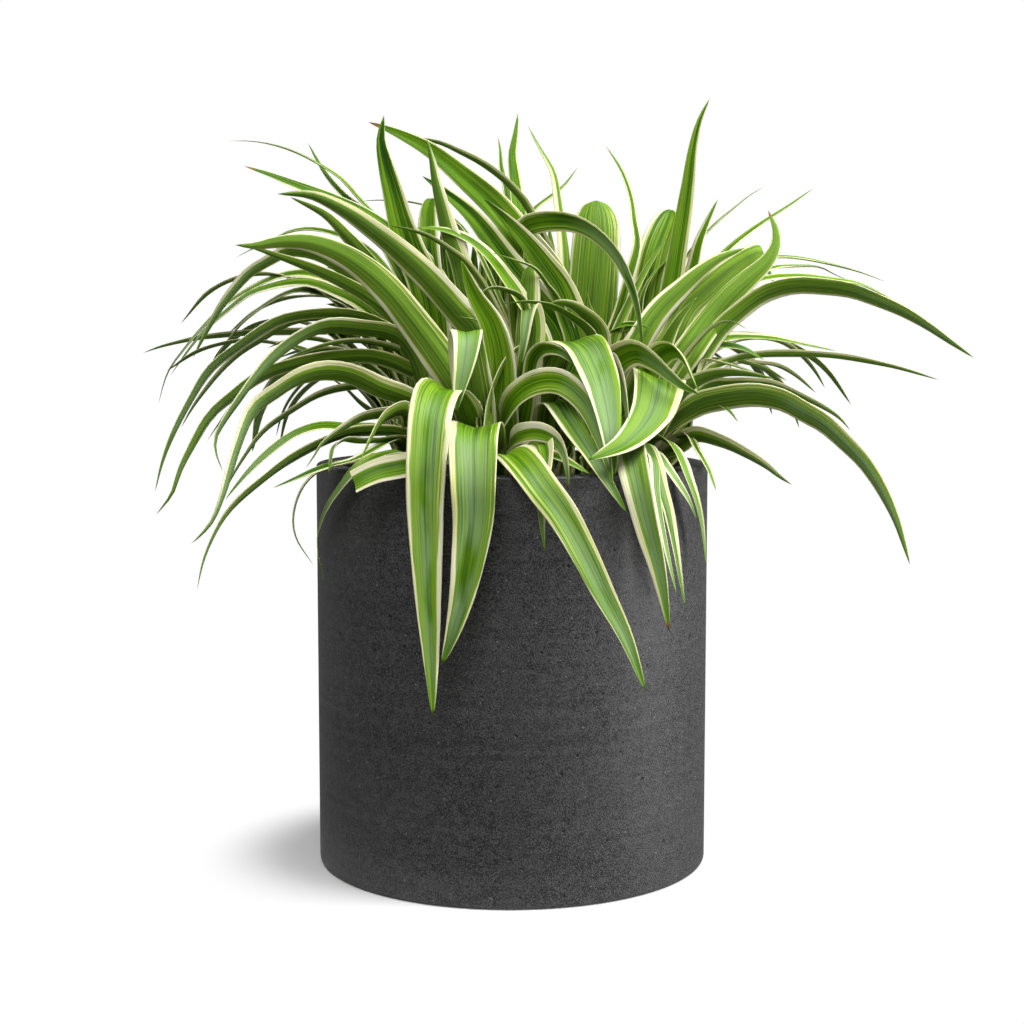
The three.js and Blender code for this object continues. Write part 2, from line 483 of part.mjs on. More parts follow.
// The smooth centreline as closely spaced points with the side of the blade carried along them
// without twisting, its share of the whole length, and the effort spent so far on length and bends.
const FINE_STEPS = 240;
const LEAN_UP_TO = 0.4; // share of the route that tells which way the leaf leans
function centreline(points) {
  const curve = new THREE.CatmullRomCurve3(points, false, "centripetal");
  const fine = curve.getPoints(FINE_STEPS);
  const lengths = [0];
  for (let i = 1; i < fine.length; i += 1) {
    lengths.push(lengths[i - 1] + fine[i].distanceTo(fine[i - 1]));
  }
  const total = lengths[FINE_STEPS];
  const lean = fine[FINE_STEPS * LEAN_UP_TO].clone().sub(fine[0]);
  let side = new THREE.Vector3(lean.y, -lean.x, 0).normalize();
  let bent = 0;
  const stations = [];
  for (let i = 0; i <= FINE_STEPS; i += 1) {
    const along = fine[Math.min(i + 1, FINE_STEPS)].clone().sub(fine[Math.max(i - 1, 0)]).normalize();
    if (i > 0) bent += THREE.MathUtils.radToDeg(along.angleTo(stations[i - 1].along));
    side = side.clone().addScaledVector(along, -side.dot(along)).normalize();
    const effort = lengths[i] / STEP_LENGTH + bent / STEP_TURN;
    stations.push({ at: fine[i], along, side, share: lengths[i] / total, effort });
  }
  return stations;
}

// Tapers from its widest place to the tip, and a cut leaf stays wide to its end.
const FULL_TIP = (1 - WIDEST ** TIP_CURVE) ** TIP_SHARP;
function halfWidth(width, share, end) {
  const grown = mix(BASE_WIDTH, 1, Math.sin((Math.min(share / GROWN_BY, 1) * Math.PI) / 2));
  const neck = mix(NECK_WIDTH, 1, smooth(share / NECK_LENGTH));
  const point = (1 - share ** TIP_CURVE) ** TIP_SHARP / FULL_TIP;
  const round = Math.max((1 - share ** ROUND_CURVE) ** 0.5, ROUND_LEAST);
  const tip = { cut: 1, round }[end] ?? point;
  return Math.max((width / 2) * grown * neck * tip, EDGE_LEAST);
}

function foldAngle(share) {
  const opened = mix(FOLD_BASE, FOLD_MIDDLE, smooth(share / FOLD_OPEN_BY));
  const closing = smooth((share - FOLD_CLOSE_FROM) / (1 - FOLD_CLOSE_FROM));
  return THREE.MathUtils.degToRad(mix(opened, FOLD_TIP, closing));
}

// The directions across a blade and out of its upper face, when it is rolled about its own length.
function rolled(station, roll) {
  const up = new THREE.Vector3().crossVectors(station.side, station.along);
  const side = station.side.clone().multiplyScalar(Math.cos(roll)).addScaledVector(up, Math.sin(roll));
  const face = up.clone().multiplyScalar(Math.cos(roll)).addScaledVector(station.side, -Math.sin(roll));
  return { side, face };
}

// How wide a blade of this half width looks from the eye.
function seenWidth(station, half, roll) {
  const { side, face } = rolled(station, roll);
  const sight = station.at.clone().sub(EYE).normalize();
  const across = new THREE.Vector3().crossVectors(sight, station.along).normalize();
  const fold = foldAngle(station.share);
  const reach = half * Math.cos(fold);
  const rise = half * Math.sin(fold);
  const right = reach * side.dot(across) + rise * face.dot(across);
  const left = -reach * side.dot(across) + rise * face.dot(across);
  return Math.max(right, left, 0) - Math.min(right, left, 0);
}

// The roll that shows a blade as wide as the view does, preferring the smallest one.
const ROLL_MOST = 80;
const ROLL_STEP = 4;
const ROLL_COST = 0.006; // mm of width that a degree of roll is worth
function rollFor(stations, width, seen, end) {
  const marks = SEEN_AT.map((at) => stations.find(({ share }) => share >= at));
  let best = 0;
  let least = Infinity;
  for (let degrees = -ROLL_MOST; degrees <= ROLL_MOST; degrees += ROLL_STEP) {
    const roll = THREE.MathUtils.degToRad(degrees);
    let miss = ROLL_COST * Math.abs(degrees);
    for (const mark of marks) {
      const half = halfWidth(width, mark.share, end);
      const wanted = (seen * half * 2) / width;
      miss += Math.abs(seenWidth(mark, half, roll) - wanted) / marks.length;
    }
    if (miss < least) {
      least = miss;
      best = roll;
    }
  }
  return best;
}

// A leaf as a closed blade: at each step a left margin, a midrib top, a right margin and a midrib
// underside, ending in one point or in a flat cut. Both faces are split into triangles alike.
function blade({ stations, width, roll, end }) {
  const positions = [];
  const triangles = [];
  const { effort } = stations[FINE_STEPS];
  const steps = Math.min(Math.max(Math.round(effort + STEPS_MORE), STEPS_LEAST), STEPS_MOST);
  const rings = end ? steps + 1 : steps;
  for (let k = 0; k < rings; k += 1) {
    const station = stations.find((one) => one.effort >= (effort * k) / steps) ?? stations[FINE_STEPS];
    const { side, face } = rolled(station, roll * smooth(station.share / ROLLED_BY));
    const half = halfWidth(width, station.share, end);
    const fold = foldAngle(station.share);
    const reach = half * Math.cos(fold);
    const rise = half * Math.sin(fold);
    const corner = (across, lift) => {
      const point = station.at.clone().addScaledVector(side, across).addScaledVector(face, lift);
      positions.push(point.x, point.y, point.z);
    };
    corner(-reach, rise * (1 - MIDRIB_DROP));
    corner(0, -rise * MIDRIB_DROP + BLADE_THICK / 2);
    corner(reach, rise * (1 - MIDRIB_DROP));
    corner(0, -rise * MIDRIB_DROP - BLADE_THICK / 2);
  }
  const tip = positions.length / 3;
  triangles.push(0, 3, 2, 0, 2, 1);
  if (!end) {
    const { at } = stations[FINE_STEPS];
    positions.push(at.x, at.y, at.z);
  }
  for (let k = 0; k + 1 < rings; k += 1) {
    const near = k * 4;
    const far = near + 4;
    const quad = (a, b) => triangles.push(near + a, near + b, far + b, near + a, far + b, far + a);
    const mirrored = (a, b) => triangles.push(near + a, near + b, far + a, near + b, far + b, far + a);
    quad(0, 1);
    mirrored(1, 2);
    quad(2, 3);
    mirrored(3, 0);
  }
  const last = (rings - 1) * 4;
  if (end) {
    triangles.push(last, last + 1, last + 2, last, last + 2, last + 3);
  } else {
    for (let i = 0; i < 4; i += 1) triangles.push(last + i, last + ((i + 1) % 4), tip);
  }
  return solid(positions, triangles);
}

// A narrow-looking leaf is mostly a wider one seen near its edge, and its fold narrows a broad one.
const SEEN_SHARE = 0.7;
const SEEN_LEAST = 6;
const FOLDED_BY = 1.05;
function tracedLeaf([tuft, seenUnits, route, end]) {
  const points = rooted(tuft, placed(route));
  const middle = points[Math.floor(points.length / 2)];
  const seen = (seenUnits * (middle.y - EYE.y)) / PICTURE_FOCAL;
  const width = Math.max(SEEN_SHARE * seen + SEEN_LEAST, FOLDED_BY * seen);
  const stations = centreline(points);
  return { tuft, stations, width, roll: rollFor(stations, width, seen, end), end };
}

// ---------------------------------------------------------------- leaves on the far side

// The far side isn't seen from the front, so its leaves arch out by rule.
// [tuft, how many, first and last heading in degrees (90 is straight back)]
const ARCHED = [
  ["back_left", 10, 92, 176],
  ["back_right", 9, 12, 88],
  ["west", 4, 128, 166],
  ["east", 4, 40, 72],
];
const ARCH_POINTS = 7;
const ARCH_START = 6; // above the top of the bundle
const ARCH_LENGTH = [120, 205];
const ARCH_RISE = [46, 84]; // degrees from level where it leaves the tuft
const ARCH_LAYER = 0.382; // share of that range between one leaf and the next, so they lie in layers
const ARCH_DROP = [20, 78]; // degrees below level at its tip
const ARCH_CURVE = 1.25; // above 1 it bends more towards the tip
const ARCH_WIDTH = [11, 20];
const ARCH_DRIFT = 14; // degrees its heading turns on the way, either way
const ARCH_SCATTER = 0.15; // share of the step between headings that a leaf strays, either way
const ARCH_SEED = 20614;

function archedLeaf(tuft, heading, layer, draw) {
  const length = mix(...ARCH_LENGTH, draw());
  const rise = mix(...ARCH_RISE, layer);
  const drop = mix(...ARCH_DROP, draw());
  const width = mix(...ARCH_WIDTH, draw());
  const drift = ARCH_DRIFT * mix(-1, 1, draw());
  const at = bundleAt(TUFTS[tuft], STUB_RISE + ARCH_START);
  const points = [];
  for (let k = 0; k < ARCH_POINTS; k += 1) {
    const share = k / (ARCH_POINTS - 1);
    const lift = THREE.MathUtils.degToRad(mix(rise, -drop, share ** ARCH_CURVE));
    const turn = THREE.MathUtils.degToRad(heading + drift * share);
    const step = length / ARCH_POINTS;
    at.x += step * Math.cos(lift) * Math.cos(turn);
    at.y += step * Math.cos(lift) * Math.sin(turn);
    at.z += step * Math.sin(lift);
    points.push(at.clone());
  }
  return { tuft, stations: centreline(rooted(tuft, points)), width, roll: 0 };
}

function makeLeaves() {
  const leaves = TRACED.map(tracedLeaf);
  const draw = seeded(ARCH_SEED);
  for (const [tuft, count, first, last] of ARCHED) {
    for (let i = 0; i < count; i += 1) {
      const share = (i + ARCH_SCATTER * mix(-1, 1, draw())) / (count - 1);
      leaves.push(archedLeaf(tuft, mix(first, last, share), (i * ARCH_LAYER) % 1, draw));
    }
  }
  return leaves;
}

// ---------------------------------------------------------------- tufts

function makeStub(tuft) {
  const profile = [
    [0, -STUB_DEPTH],
    [STUB_RADIUS, -STUB_DEPTH],
    [STUB_RADIUS, STUB_UPRIGHT],
    [STUB_TOP_RADIUS, STUB_RISE],
    [0, STUB_RISE],
  ];
  const geometry = turned(profile, STUB_SIDES);
  const points = geometry.attributes.position;
  for (let i = 0; i < points.count; i += 1) {
    const middle = bundleAt(tuft, points.getZ(i));
    points.setXYZ(i, middle.x + points.getX(i), middle.y + points.getY(i), middle.z);
  }
  return geometry;
}

const LEAVES = makeLeaves();

function makeTuft(tuft) {
  let joined = solidOf(makeStub(TUFTS[tuft]));
  for (const leaf of LEAVES.filter((one) => one.tuft === tuft)) {
    joined = joined.add(blade(leaf));
  }
  return geometryOf(joined);
}

// ---------------------------------------------------------------- the whole object

const ANTHRACITE = { color: 0x424242, roughness: 0.72, metalness: 0 };
const EARTH = { color: 0x2a211a, roughness: 0.95, metalness: 0 };
const LEAF_GREEN = { color: 0x4e8a2a, roughness: 0.45, metalness: 0 };

const object = new THREE.Group();
object.add(named("pot", makePot(), ANTHRACITE));
object.add(named("soil", makeSoil(), EARTH));
for (const tuft of Object.keys(TUFTS)) {
  object.add(named(`crown_${tuft}`, makeTuft(tuft), LEAF_GREEN));
}

export default object;
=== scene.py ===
import math
import random

import bpy
from bpy.props import FloatProperty, FloatVectorProperty, IntProperty, PointerProperty
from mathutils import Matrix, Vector


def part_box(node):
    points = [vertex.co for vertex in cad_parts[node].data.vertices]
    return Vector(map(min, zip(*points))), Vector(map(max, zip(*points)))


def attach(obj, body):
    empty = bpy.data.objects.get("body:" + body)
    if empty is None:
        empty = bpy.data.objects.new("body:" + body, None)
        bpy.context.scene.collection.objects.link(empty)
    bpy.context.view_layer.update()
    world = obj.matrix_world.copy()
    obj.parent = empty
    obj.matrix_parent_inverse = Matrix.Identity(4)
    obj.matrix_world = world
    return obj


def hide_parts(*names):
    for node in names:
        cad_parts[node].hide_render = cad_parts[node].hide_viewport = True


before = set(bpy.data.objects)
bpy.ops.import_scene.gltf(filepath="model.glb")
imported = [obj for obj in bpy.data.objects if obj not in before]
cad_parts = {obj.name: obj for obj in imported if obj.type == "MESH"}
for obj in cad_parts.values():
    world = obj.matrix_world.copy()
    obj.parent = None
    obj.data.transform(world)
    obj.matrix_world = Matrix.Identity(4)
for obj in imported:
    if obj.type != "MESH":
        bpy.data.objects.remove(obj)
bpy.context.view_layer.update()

bl_info = {
    "name": "Potted spider plant",
    "version": (1, 0, 0),
    "blender": (4, 5, 0),
    "location": "View3D > Sidebar > Spider plant",
    "description": "A variegated spider plant in a dark cylinder planter, with its soil and a plain stage",
    "category": "Add Mesh",
}

# ---- sizes, in mm

MM = 0.001
GAP = 0.3  # between pieces that rest in one another

POT_SIDES = 256
EDGE_STEPS = 6

STUB_UPRIGHT = 5  # height above the soil where a tuft's bundle of leaf bases starts to lean
STUB_RISE = 30
STUB_TOP_RADIUS = 8

# A leaf leaves its bundle at its neck. Each pair is for a level leaf and an upright one.
NECK_RISE = [0.45, 0.95]
NECK_REACH = [0.8, 0.1]
ROOT_RISE = 0.55
ROOT_REACH = 0.5
LEVEL_FROM = 0.6

# Where each tuft stands in the soil, and how far its bundle leans by its top.
TUFTS = {
    "west": {"at": (-48, 6), "lean": (-9, 0)},
    "front": {"at": (-12, -38), "lean": (-1, -6)},
    "centre": {"at": (10, 4), "lean": (-2, 0)},
    "back_left": {"at": (-20, 46), "lean": (-3, 5)},
    "back_right": {"at": (26, 48), "lean": (3, 5)},
    "east": {"at": (55, 8), "lean": (10, 2)},
    "front_east": {"at": (34, -34), "lean": (5, -4)},
}

# The view that the leaves' routes are read in: an eye straight in front of the pot, looking
# slightly down on it. Its units are those of a square picture 1024 across.
EYE = Vector((0, -948, 271.5))
EYE_PITCH = math.radians(5.57)
EYE_LENS = 65
PICTURE_MIDDLE = 512
PICTURE_FOCAL = 1848.9
LOOK = Vector((0, math.cos(EYE_PITCH), -math.sin(EYE_PITCH)))
LOOK_UP = Vector((0, math.sin(EYE_PITCH), math.cos(EYE_PITCH)))

# ---- traced leaves

# Each tuft's leaves: [width seen in picture units, route from the tuft out to the tip]. A route's
# points are [across, down, depth], with the depth in mm along +Y from the pot's axis; where it is
# left out it runs evenly between its neighbours. A "cut" leaf ends bluntly, and a "round" one broadly.
TRACED = {
    "west": [
        [20, [[425, 345, 0], [400, 305], [365, 258], [345, 235], [325, 215], [290, 197, 5]]],
        [10, [[420, 335, 10], [385, 270], [360, 245], [335, 234], [310, 229], [288, 232], [270, 241],
         [252, 249], [235, 258, 45]]],
        [16, [[415, 345, -5], [378, 305], [345, 284], [320, 272], [300, 264], [280, 257], [260, 250],
         [242, 245, 5]]],
        [13, [[415, 360, 5], [385, 305], [345, 272], [320, 256], [300, 251], [285, 252], [270, 260],
         [250, 272], [235, 288], [222, 305], [210, 325], [201, 342], [193, 358, 25]]],
        [8, [[410, 370, 10], [380, 315], [345, 288], [320, 276], [300, 273], [280, 276], [260, 284],
         [240, 295], [220, 309], [205, 325], [185, 348], [168, 372], [158, 405, 60]]],
        [11, [[408, 372, 5], [370, 312], [330, 290], [310, 283], [290, 283], [270, 287], [250, 294],
         [235, 305], [220, 317], [205, 330], [185, 355], [170, 376, 35]]],
        [9, [[400, 380, 8], [360, 312], [320, 292], [300, 290], [285, 294], [270, 302], [255, 312],
         [240, 325], [228, 340], [218, 355], [207, 378, 55]]],
        [8, [[400, 385, 5], [350, 335], [300, 332], [280, 332], [250, 333], [225, 335], [200, 338],
         [180, 342], [160, 347], [143, 353, 80]]],
        [11, [[425, 385, -5], [405, 343], [385, 327], [360, 317], [330, 314], [300, 316], [280, 321],
         [260, 332], [240, 346], [212, 368], [187, 407], [172, 437], [162, 464], [155, 492, -15]]],
        [8, [[400, 390, 5], [360, 330], [320, 318], [290, 323], [260, 340], [240, 353], [220, 372],
         [200, 397], [190, 412], [181, 428, 20]]],
        [16, [[425, 395, -15], [400, 338], [360, 328], [325, 327], [300, 337], [275, 356], [255, 378],
         [240, 398], [225, 420], [216, 438], [216, 452], [223, 472, -65]]],
        [5, [[395, 392, 0], [340, 350], [290, 360], [245, 390], [232, 405], [218, 425], [207, 441, -10]]],
        [15, [[440, 415, -12], [430, 384], [410, 371], [390, 362], [370, 357], [350, 357], [320, 360],
         [290, 366], [262, 376], [235, 395], [212, 414], [193, 445], [180, 471], [172, 494],
         [156, 515, -45]]],
        [18, [[430, 430, -15], [415, 402], [380, 388], [350, 374], [325, 371], [300, 377], [275, 392],
         [254, 408], [238, 445], [229, 474], [222, 498], [213, 520], [203, 533], [191, 544, -85]]],
        [8, [[425, 420, -5], [392, 388], [350, 387], [321, 394], [293, 410], [264, 431], [245, 456],
         [229, 483], [222, 500, -30]]],
        [9, [[420, 445, -15], [380, 428], [350, 428], [321, 426], [297, 433], [273, 449], [252, 468],
         [237, 485], [225, 500, -55]]],
        [9, [[425, 455, -20], [405, 434], [379, 431], [350, 433], [321, 443], [293, 458], [264, 479],
         [237, 502], [222, 521], [210, 544], [203, 563], [197, 590, -80]]],
        [14, [[430, 440, -25], [411, 415], [379, 414], [360, 418], [340, 430], [321, 445], [314, 456],
         [306, 468, -75]]],
        [8, [[400, 400, 20], [350, 372], [320, 370], [303, 383], [290, 399], [282, 415], [276, 437, 70]]],
        [7, [[425, 468, -22], [405, 453, -42], [375, 457, -70], [360, 466, -76], [350, 475, -74],
         [340, 488, -68], [330, 503, -61], [323, 517, -54], [318, 535, -48], [318, 550],
         [325, 584, -50]]],
        [5, [[400, 440, -20], [350, 461, -62], [330, 466, -61], [314, 474, -57], [303, 486], [295, 505],
         [293, 524], [297, 540], [314, 566, -62]]],
        [8, [[400, 440, -25], [375, 441], [361, 441], [343, 440], [334, 447], [331, 458],
         [329, 474, -75]]],
        [12, [[405, 410, -40], [388, 415], [378, 425], [370, 440], [360, 461, -95]]],
        [7, [[425, 462, -25], [400, 455, -35], [361, 460], [333, 465, -60], [317, 470], [290, 481],
         [273, 488, -85]]],
        [8, [[420, 400, -10], [405, 355], [375, 343], [350, 341], [325, 345], [300, 353],
         [279, 362, -40]]],
        [20, [[432, 380, 10], [408, 330], [386, 300], [366, 284], [345, 273], [326, 267, 34]]],
        [18, [[428, 392, 8], [402, 346], [376, 319], [350, 307], [326, 304, 34]]],
        [5, [[430, 330, 28], [400, 252], [381, 222], [360, 200], [340, 178], [310, 159], [290, 150],
         [270, 144], [250, 141], [229, 141, 62]]],
        [14, [[420, 330, 20], [385, 245], [358, 208], [345, 197], [330, 180], [318, 162],
         [308, 143, 60]]],
        [6, [[410, 440, 0], [372, 412], [360, 403], [345, 388], [330, 378, 30]]],
        [36, [[432, 380, 10], [432, 320], [423, 280], [412, 255], [402, 225], [394, 195], [386, 165],
         [381, 140], [384, 115, 15]]],
        [27, [[440, 380, 20], [434, 320], [430, 270, 26], [428, 235, 30], [429, 208, 38], [433, 198, 50],
         [438, 204, 64], [441, 222, 76]]],
    ],
    "front": [
        [34, [[480, 425, -24], [455, 382, -32], [430, 345], [410, 318], [390, 293], [365, 270],
         [340, 254], [310, 243], [280, 242], [255, 246], [235, 245, -50]]],
        [26, [[455, 440, -50], [440, 453, -70], [420, 463, -89], [400, 467, -95], [380, 471, -94],
         [365, 477], [354, 483, -92]], "cut"],
        [34, [[502, 455, -30], [500, 400, -32], [500, 360], [492, 325], [475, 295], [461, 260, -38]]],
        [40, [[480, 440, -35], [472, 385, -45], [466, 345, -52], [466, 331, -60], [467, 340, -70],
         [464, 365, -76], [459, 390, -78], [456, 413, -80]]],
        [20, [[520, 430, -28], [530, 382, -34], [533, 360, -38], [543, 349, -44], [560, 351, -50],
         [578, 367, -56]]],
        [43, [[478, 455, -30], [462, 405, -50], [450, 388, -65], [440, 388, -78], [431, 410, -95],
         [427, 450, -103], [425, 500, -106], [426, 540], [428, 600, -110], [431, 660], [433, 717, -112]]],
        [50, [[490, 455, -35], [482, 432, -60], [476, 425, -75], [473, 440, -97], [473, 480, -109],
         [473, 520], [468, 560, -111], [461, 600], [450, 641], [441, 666, -112]]],
        [34, [[492, 462, -45], [500, 455, -66], [512, 453, -86], [527, 467, -104], [543, 489, -111],
         [561, 513], [584, 554], [604, 595], [625, 636], [646, 692, -108]]],
        [17, [[535, 440, -60], [546, 450, -86], [545, 475, -104], [542, 500, -105], [543, 530],
         [545, 553, -105]]],
        [16, [[505, 455, -30], [511, 441, -44], [521, 434, -60], [540, 432], [557, 441], [566, 460, -98],
         [569, 489, -103]]],
        [12, [[508, 456, -35], [525, 447, -55], [545, 452, -75], [565, 460, -90], [590, 474, -102]]],
        [27, [[548, 450, -24], [547, 422, -28], [549, 405, -38], [556, 402, -50], [566, 416, -64],
         [580, 438, -80], [594, 460, -92], [609, 484, -98], [627, 513, -101]]],
        [24, [[497, 440, -30], [512, 400, -42], [535, 383], [560, 382], [583, 400], [598, 430],
         [608, 460], [613, 486, -104]]],
    ],
    "centre": [
        [22, [[478, 372, 5], [452, 310, 18], [420, 258, 24], [385, 230], [360, 213], [330, 199],
         [300, 187], [270, 175], [244, 166, 35]]],
        [30, [[497, 395, -12], [478, 335, -15], [455, 308], [430, 280], [400, 252], [370, 228],
         [340, 208], [310, 195], [277, 194, -20]]],
        [33, [[560, 300, 25], [520, 235, 22], [495, 205], [465, 178], [430, 150], [395, 132],
         [368, 122, 25]]],
        [26, [[485, 350, 0], [470, 300], [460, 262], [450, 235], [443, 210], [437, 185], [432, 160],
         [427, 139, 5]]],
        [32, [[565, 345, 20], [530, 290, 15], [508, 262], [492, 240], [470, 213], [445, 192],
         [422, 176, 10]]],
        [32, [[580, 350, 6], [570, 310, 8], [560, 285], [548, 268], [528, 242], [505, 218],
         [484, 199, 12]]],
        [22, [[524, 400, 0], [526, 340, 4], [528, 310, 6], [529, 285, 8], [530, 266, 12]], "round"],
        [7, [[575, 345, 12], [558, 298], [548, 285], [535, 268], [515, 260], [490, 252, 0]]],
        [16, [[545, 345, 5], [520, 297], [505, 275], [488, 254], [465, 237], [440, 229], [416, 228, 0]]],
        [9, [[510, 350, -5], [487, 292], [465, 262], [450, 250], [430, 237], [410, 230], [386, 225, 0]]],
        [28, [[528, 380, -20], [534, 330, -30], [531, 308, -42], [528, 318, -52], [525, 340, -58],
         [521, 366, -60]]],
        [12, [[530, 370, -10], [522, 300, -12], [505, 290], [490, 288], [478, 296], [470, 312, -24]]],
        [6, [[505, 350, -15], [480, 322], [456, 316, -30]]],
        [20, [[522, 345, 24], [517, 290, 26], [515, 250, 24], [523, 229, 18], [540, 222, 10],
         [556, 221, 2], [570, 222, -5], [588, 229, -12], [604, 241, -16], [618, 258], [630, 282],
         [637, 305], [641, 330], [643, 357, -30]]],
        [52, [[536, 425, 2], [544, 388, -4], [553, 358, -14], [570, 340, -32], [584, 346, -48],
         [593, 361, -60], [600, 380, -72], [605, 400, -81], [609, 422, -88], [611, 445, -94],
         [614, 478, -98]]],
    ],
    "back_left": [
        [30, [[476, 400, 50], [470, 345], [462, 300], [456, 262], [451, 222, 58]], "round"],
        [32, [[486, 400, 48], [493, 345], [495, 305], [494, 275], [491, 250, 62]], "round"],
        [28, [[500, 400, 50], [510, 345], [514, 305], [513, 280], [511, 258, 58]], "round"],
        [22, [[466, 390, 48], [446, 335], [424, 292], [402, 264], [380, 243], [362, 231, 54]]],
    ],
    "back_right": [
        [10, [[565, 300, 35], [528, 208, 35], [515, 191], [500, 176], [480, 162], [460, 152], [440, 143],
         [420, 139], [393, 134, 45]]],
        [5, [[500, 300, 40], [460, 225], [425, 205], [380, 200], [355, 202, 70]]],
        [22, [[545, 330, 56], [525, 250], [517, 198], [514, 175], [512, 155], [515, 135],
         [518, 113, 66]]],
        [14, [[540, 330, 50], [515, 240], [505, 185], [501, 168], [500, 150], [498, 137, 75]]],
        [13, [[570, 350, 30], [567, 300], [565, 270], [563, 240], [558, 200], [553, 172], [541, 150],
         [528, 126, 40]]],
        [12, [[520, 300, 40], [523, 240], [532, 212], [548, 198], [563, 186], [578, 167, 60]]],
        [50, [[585, 400, 36], [588, 340, 34], [592, 300, 33], [595, 262, 34], [597, 230, 37],
         [596, 201, 44]], "round"],
    ],
    "east": [
        [14, [[605, 400, -5], [590, 335, -12], [572, 318], [550, 306], [525, 302], [503, 304, -30]]],
        [26, [[600, 380, 0], [598, 330, -8], [582, 312], [568, 304], [553, 303], [544, 309, -22]]],
        [9, [[606, 390, 0], [602, 345], [597, 325], [590, 307], [586, 290, 5]]],
        [20, [[652, 405, -4], [664, 352, -14], [679, 320, -24], [697, 297, -27]]],
        [21, [[640, 400, 10], [658, 345], [672, 290], [680, 240], [688, 190], [693, 150], [700, 120],
         [710, 98, 30]]],
        [19, [[655, 380, 15], [678, 320], [692, 270], [698, 245], [708, 220], [718, 199, 40]]],
        [5, [[660, 340, 20], [685, 260], [710, 229], [735, 207], [750, 195], [765, 186, 60]]],
        [9, [[660, 350, 25], [700, 280], [730, 248], [750, 232], [770, 218], [790, 205], [814, 188, 85]]],
        [30, [[655, 400, -5], [690, 350, -10], [710, 322], [730, 297], [750, 278], [767, 262], [776, 245],
         [776, 230], [768, 210, 10]]],
        [28, [[615, 385, -5], [640, 340, -8], [660, 310], [680, 290], [700, 272], [720, 258],
         [745, 248, 5]]],
        [28, [[635, 395, -2], [672, 335, 0], [688, 305], [705, 290], [725, 272], [745, 258],
         [757, 252, 20], [765, 262, 45], [775, 285, 70]]],
        [8, [[640, 350, 10], [643, 295, 18], [655, 272], [671, 257, 25]]],
        [31, [[635, 380, 15], [646, 290, 25], [655, 250, 28], [663, 228, 33], [671, 210, 42]], "round"],
        [13, [[600, 420, 10], [608, 345, 12], [618, 315], [628, 280], [637, 245], [634, 220], [631, 198],
         [622, 172], [606, 146, 20]]],
        [12, [[602, 410, 3], [612, 345], [630, 300], [650, 262], [668, 235, 10]]],
        [9, [[680, 370, 20], [700, 320], [725, 285], [750, 264], [775, 257], [800, 258], [830, 264],
         [860, 272], [886, 282, 60]]],
        [10, [[685, 375, 15], [712, 320], [740, 285], [774, 268], [796, 266], [820, 267], [836, 275],
         [850, 281, 50]]],
        [8, [[690, 380, 10], [705, 335], [730, 295], [760, 280], [800, 276], [830, 279], [860, 284],
         [885, 296], [915, 315, 40]]],
        [20, [[680, 410, 0], [690, 380], [705, 352], [722, 328], [740, 312], [760, 297], [780, 289],
         [800, 286], [820, 287], [850, 291], [880, 302], [905, 313], [930, 328], [950, 342],
         [974, 358, -15]]],
        [12, [[680, 400, 5], [700, 352], [722, 338], [742, 336], [773, 338], [803, 344], [836, 351, 45]]],
        [8, [[680, 405, 10], [705, 360], [730, 343], [755, 338], [781, 342], [800, 354], [814, 370],
         [825, 388, 90]]],
        [8, [[690, 405, 0], [705, 372], [728, 361], [742, 357], [771, 354], [803, 354], [844, 357],
         [885, 365], [905, 370], [939, 380, 25]]],
        [7, [[690, 410, -5], [705, 361, -5], [722, 362], [742, 368], [758, 374], [775, 378, -30]]],
        [5, [[690, 405, 5], [725, 360], [750, 364], [766, 369], [787, 381, 55]]],
        [5, [[690, 410, 8], [730, 365], [762, 363], [779, 366], [795, 375], [816, 393, 75]]],
        [20, [[650, 440, -14], [664, 415, -20], [680, 392, -26], [700, 379, -30], [722, 373], [748, 374],
         [774, 379, -45]]],
        [22, [[650, 450, -8], [660, 434, -10], [681, 416], [701, 404], [722, 399], [742, 396], [762, 396],
         [783, 401], [803, 412], [824, 424], [844, 442], [864, 463], [881, 489], [895, 518], [903, 542],
         [910, 565, -70]]],
        [30, [[656, 460, 6], [670, 447, 8], [681, 430, 8], [687, 412], [689, 396, 4]]],
        [11, [[670, 430, 0], [707, 386], [732, 383], [754, 383], [773, 385], [809, 400], [838, 417],
         [850, 430, -10]]],
        [4, [[680, 430, 0], [700, 408], [715, 403], [728, 410], [738, 422, -30]]],
        [14, [[680, 445, -5], [694, 435, -8], [720, 441], [745, 453], [765, 465], [780, 477],
         [792, 485, -35]]],
        [6, [[675, 440, -4], [688, 436, -12], [697, 450], [707, 467], [716, 490, -60]]],
        [9, [[660, 400, -15], [680, 365, -20], [697, 342], [714, 326], [730, 321], [747, 329, -45]]],
    ],
    "front_east": [
        [36, [[600, 430, -20], [606, 390, -33], [616, 362, -42], [634, 352, -50], [652, 360, -58],
         [670, 375, -65], [684, 386], [699, 394, -75]]],
        [34, [[626, 432, -18], [639, 392, -24], [649, 368, -30], [662, 353, -36], [674, 350, -44],
         [684, 359, -52], [691, 374, -58], [698, 391, -62]]],
        [12, [[600, 400, -24], [606, 370, -37], [612, 361, -46], [619, 372, -58], [624, 390, -70],
         [627, 410, -80], [629, 437, -90]]],
        [57, [[628, 440, -22], [647, 400, -28], [658, 377, -40], [659, 380, -52], [657, 395, -64],
         [652, 412, -76], [640, 430, -88], [624, 444, -97], [606, 453, -103], [588, 460, -107]]],
        [36, [[608, 450, -20], [612, 425, -45], [621, 428, -70], [630, 452, -90], [637, 484, -102],
         [646, 524, -106], [657, 565, -108], [665, 605], [669, 632, -112]]],
        [9, [[650, 455, -80], [655, 490, -90], [660, 520], [667, 555], [677, 596, -92]]],
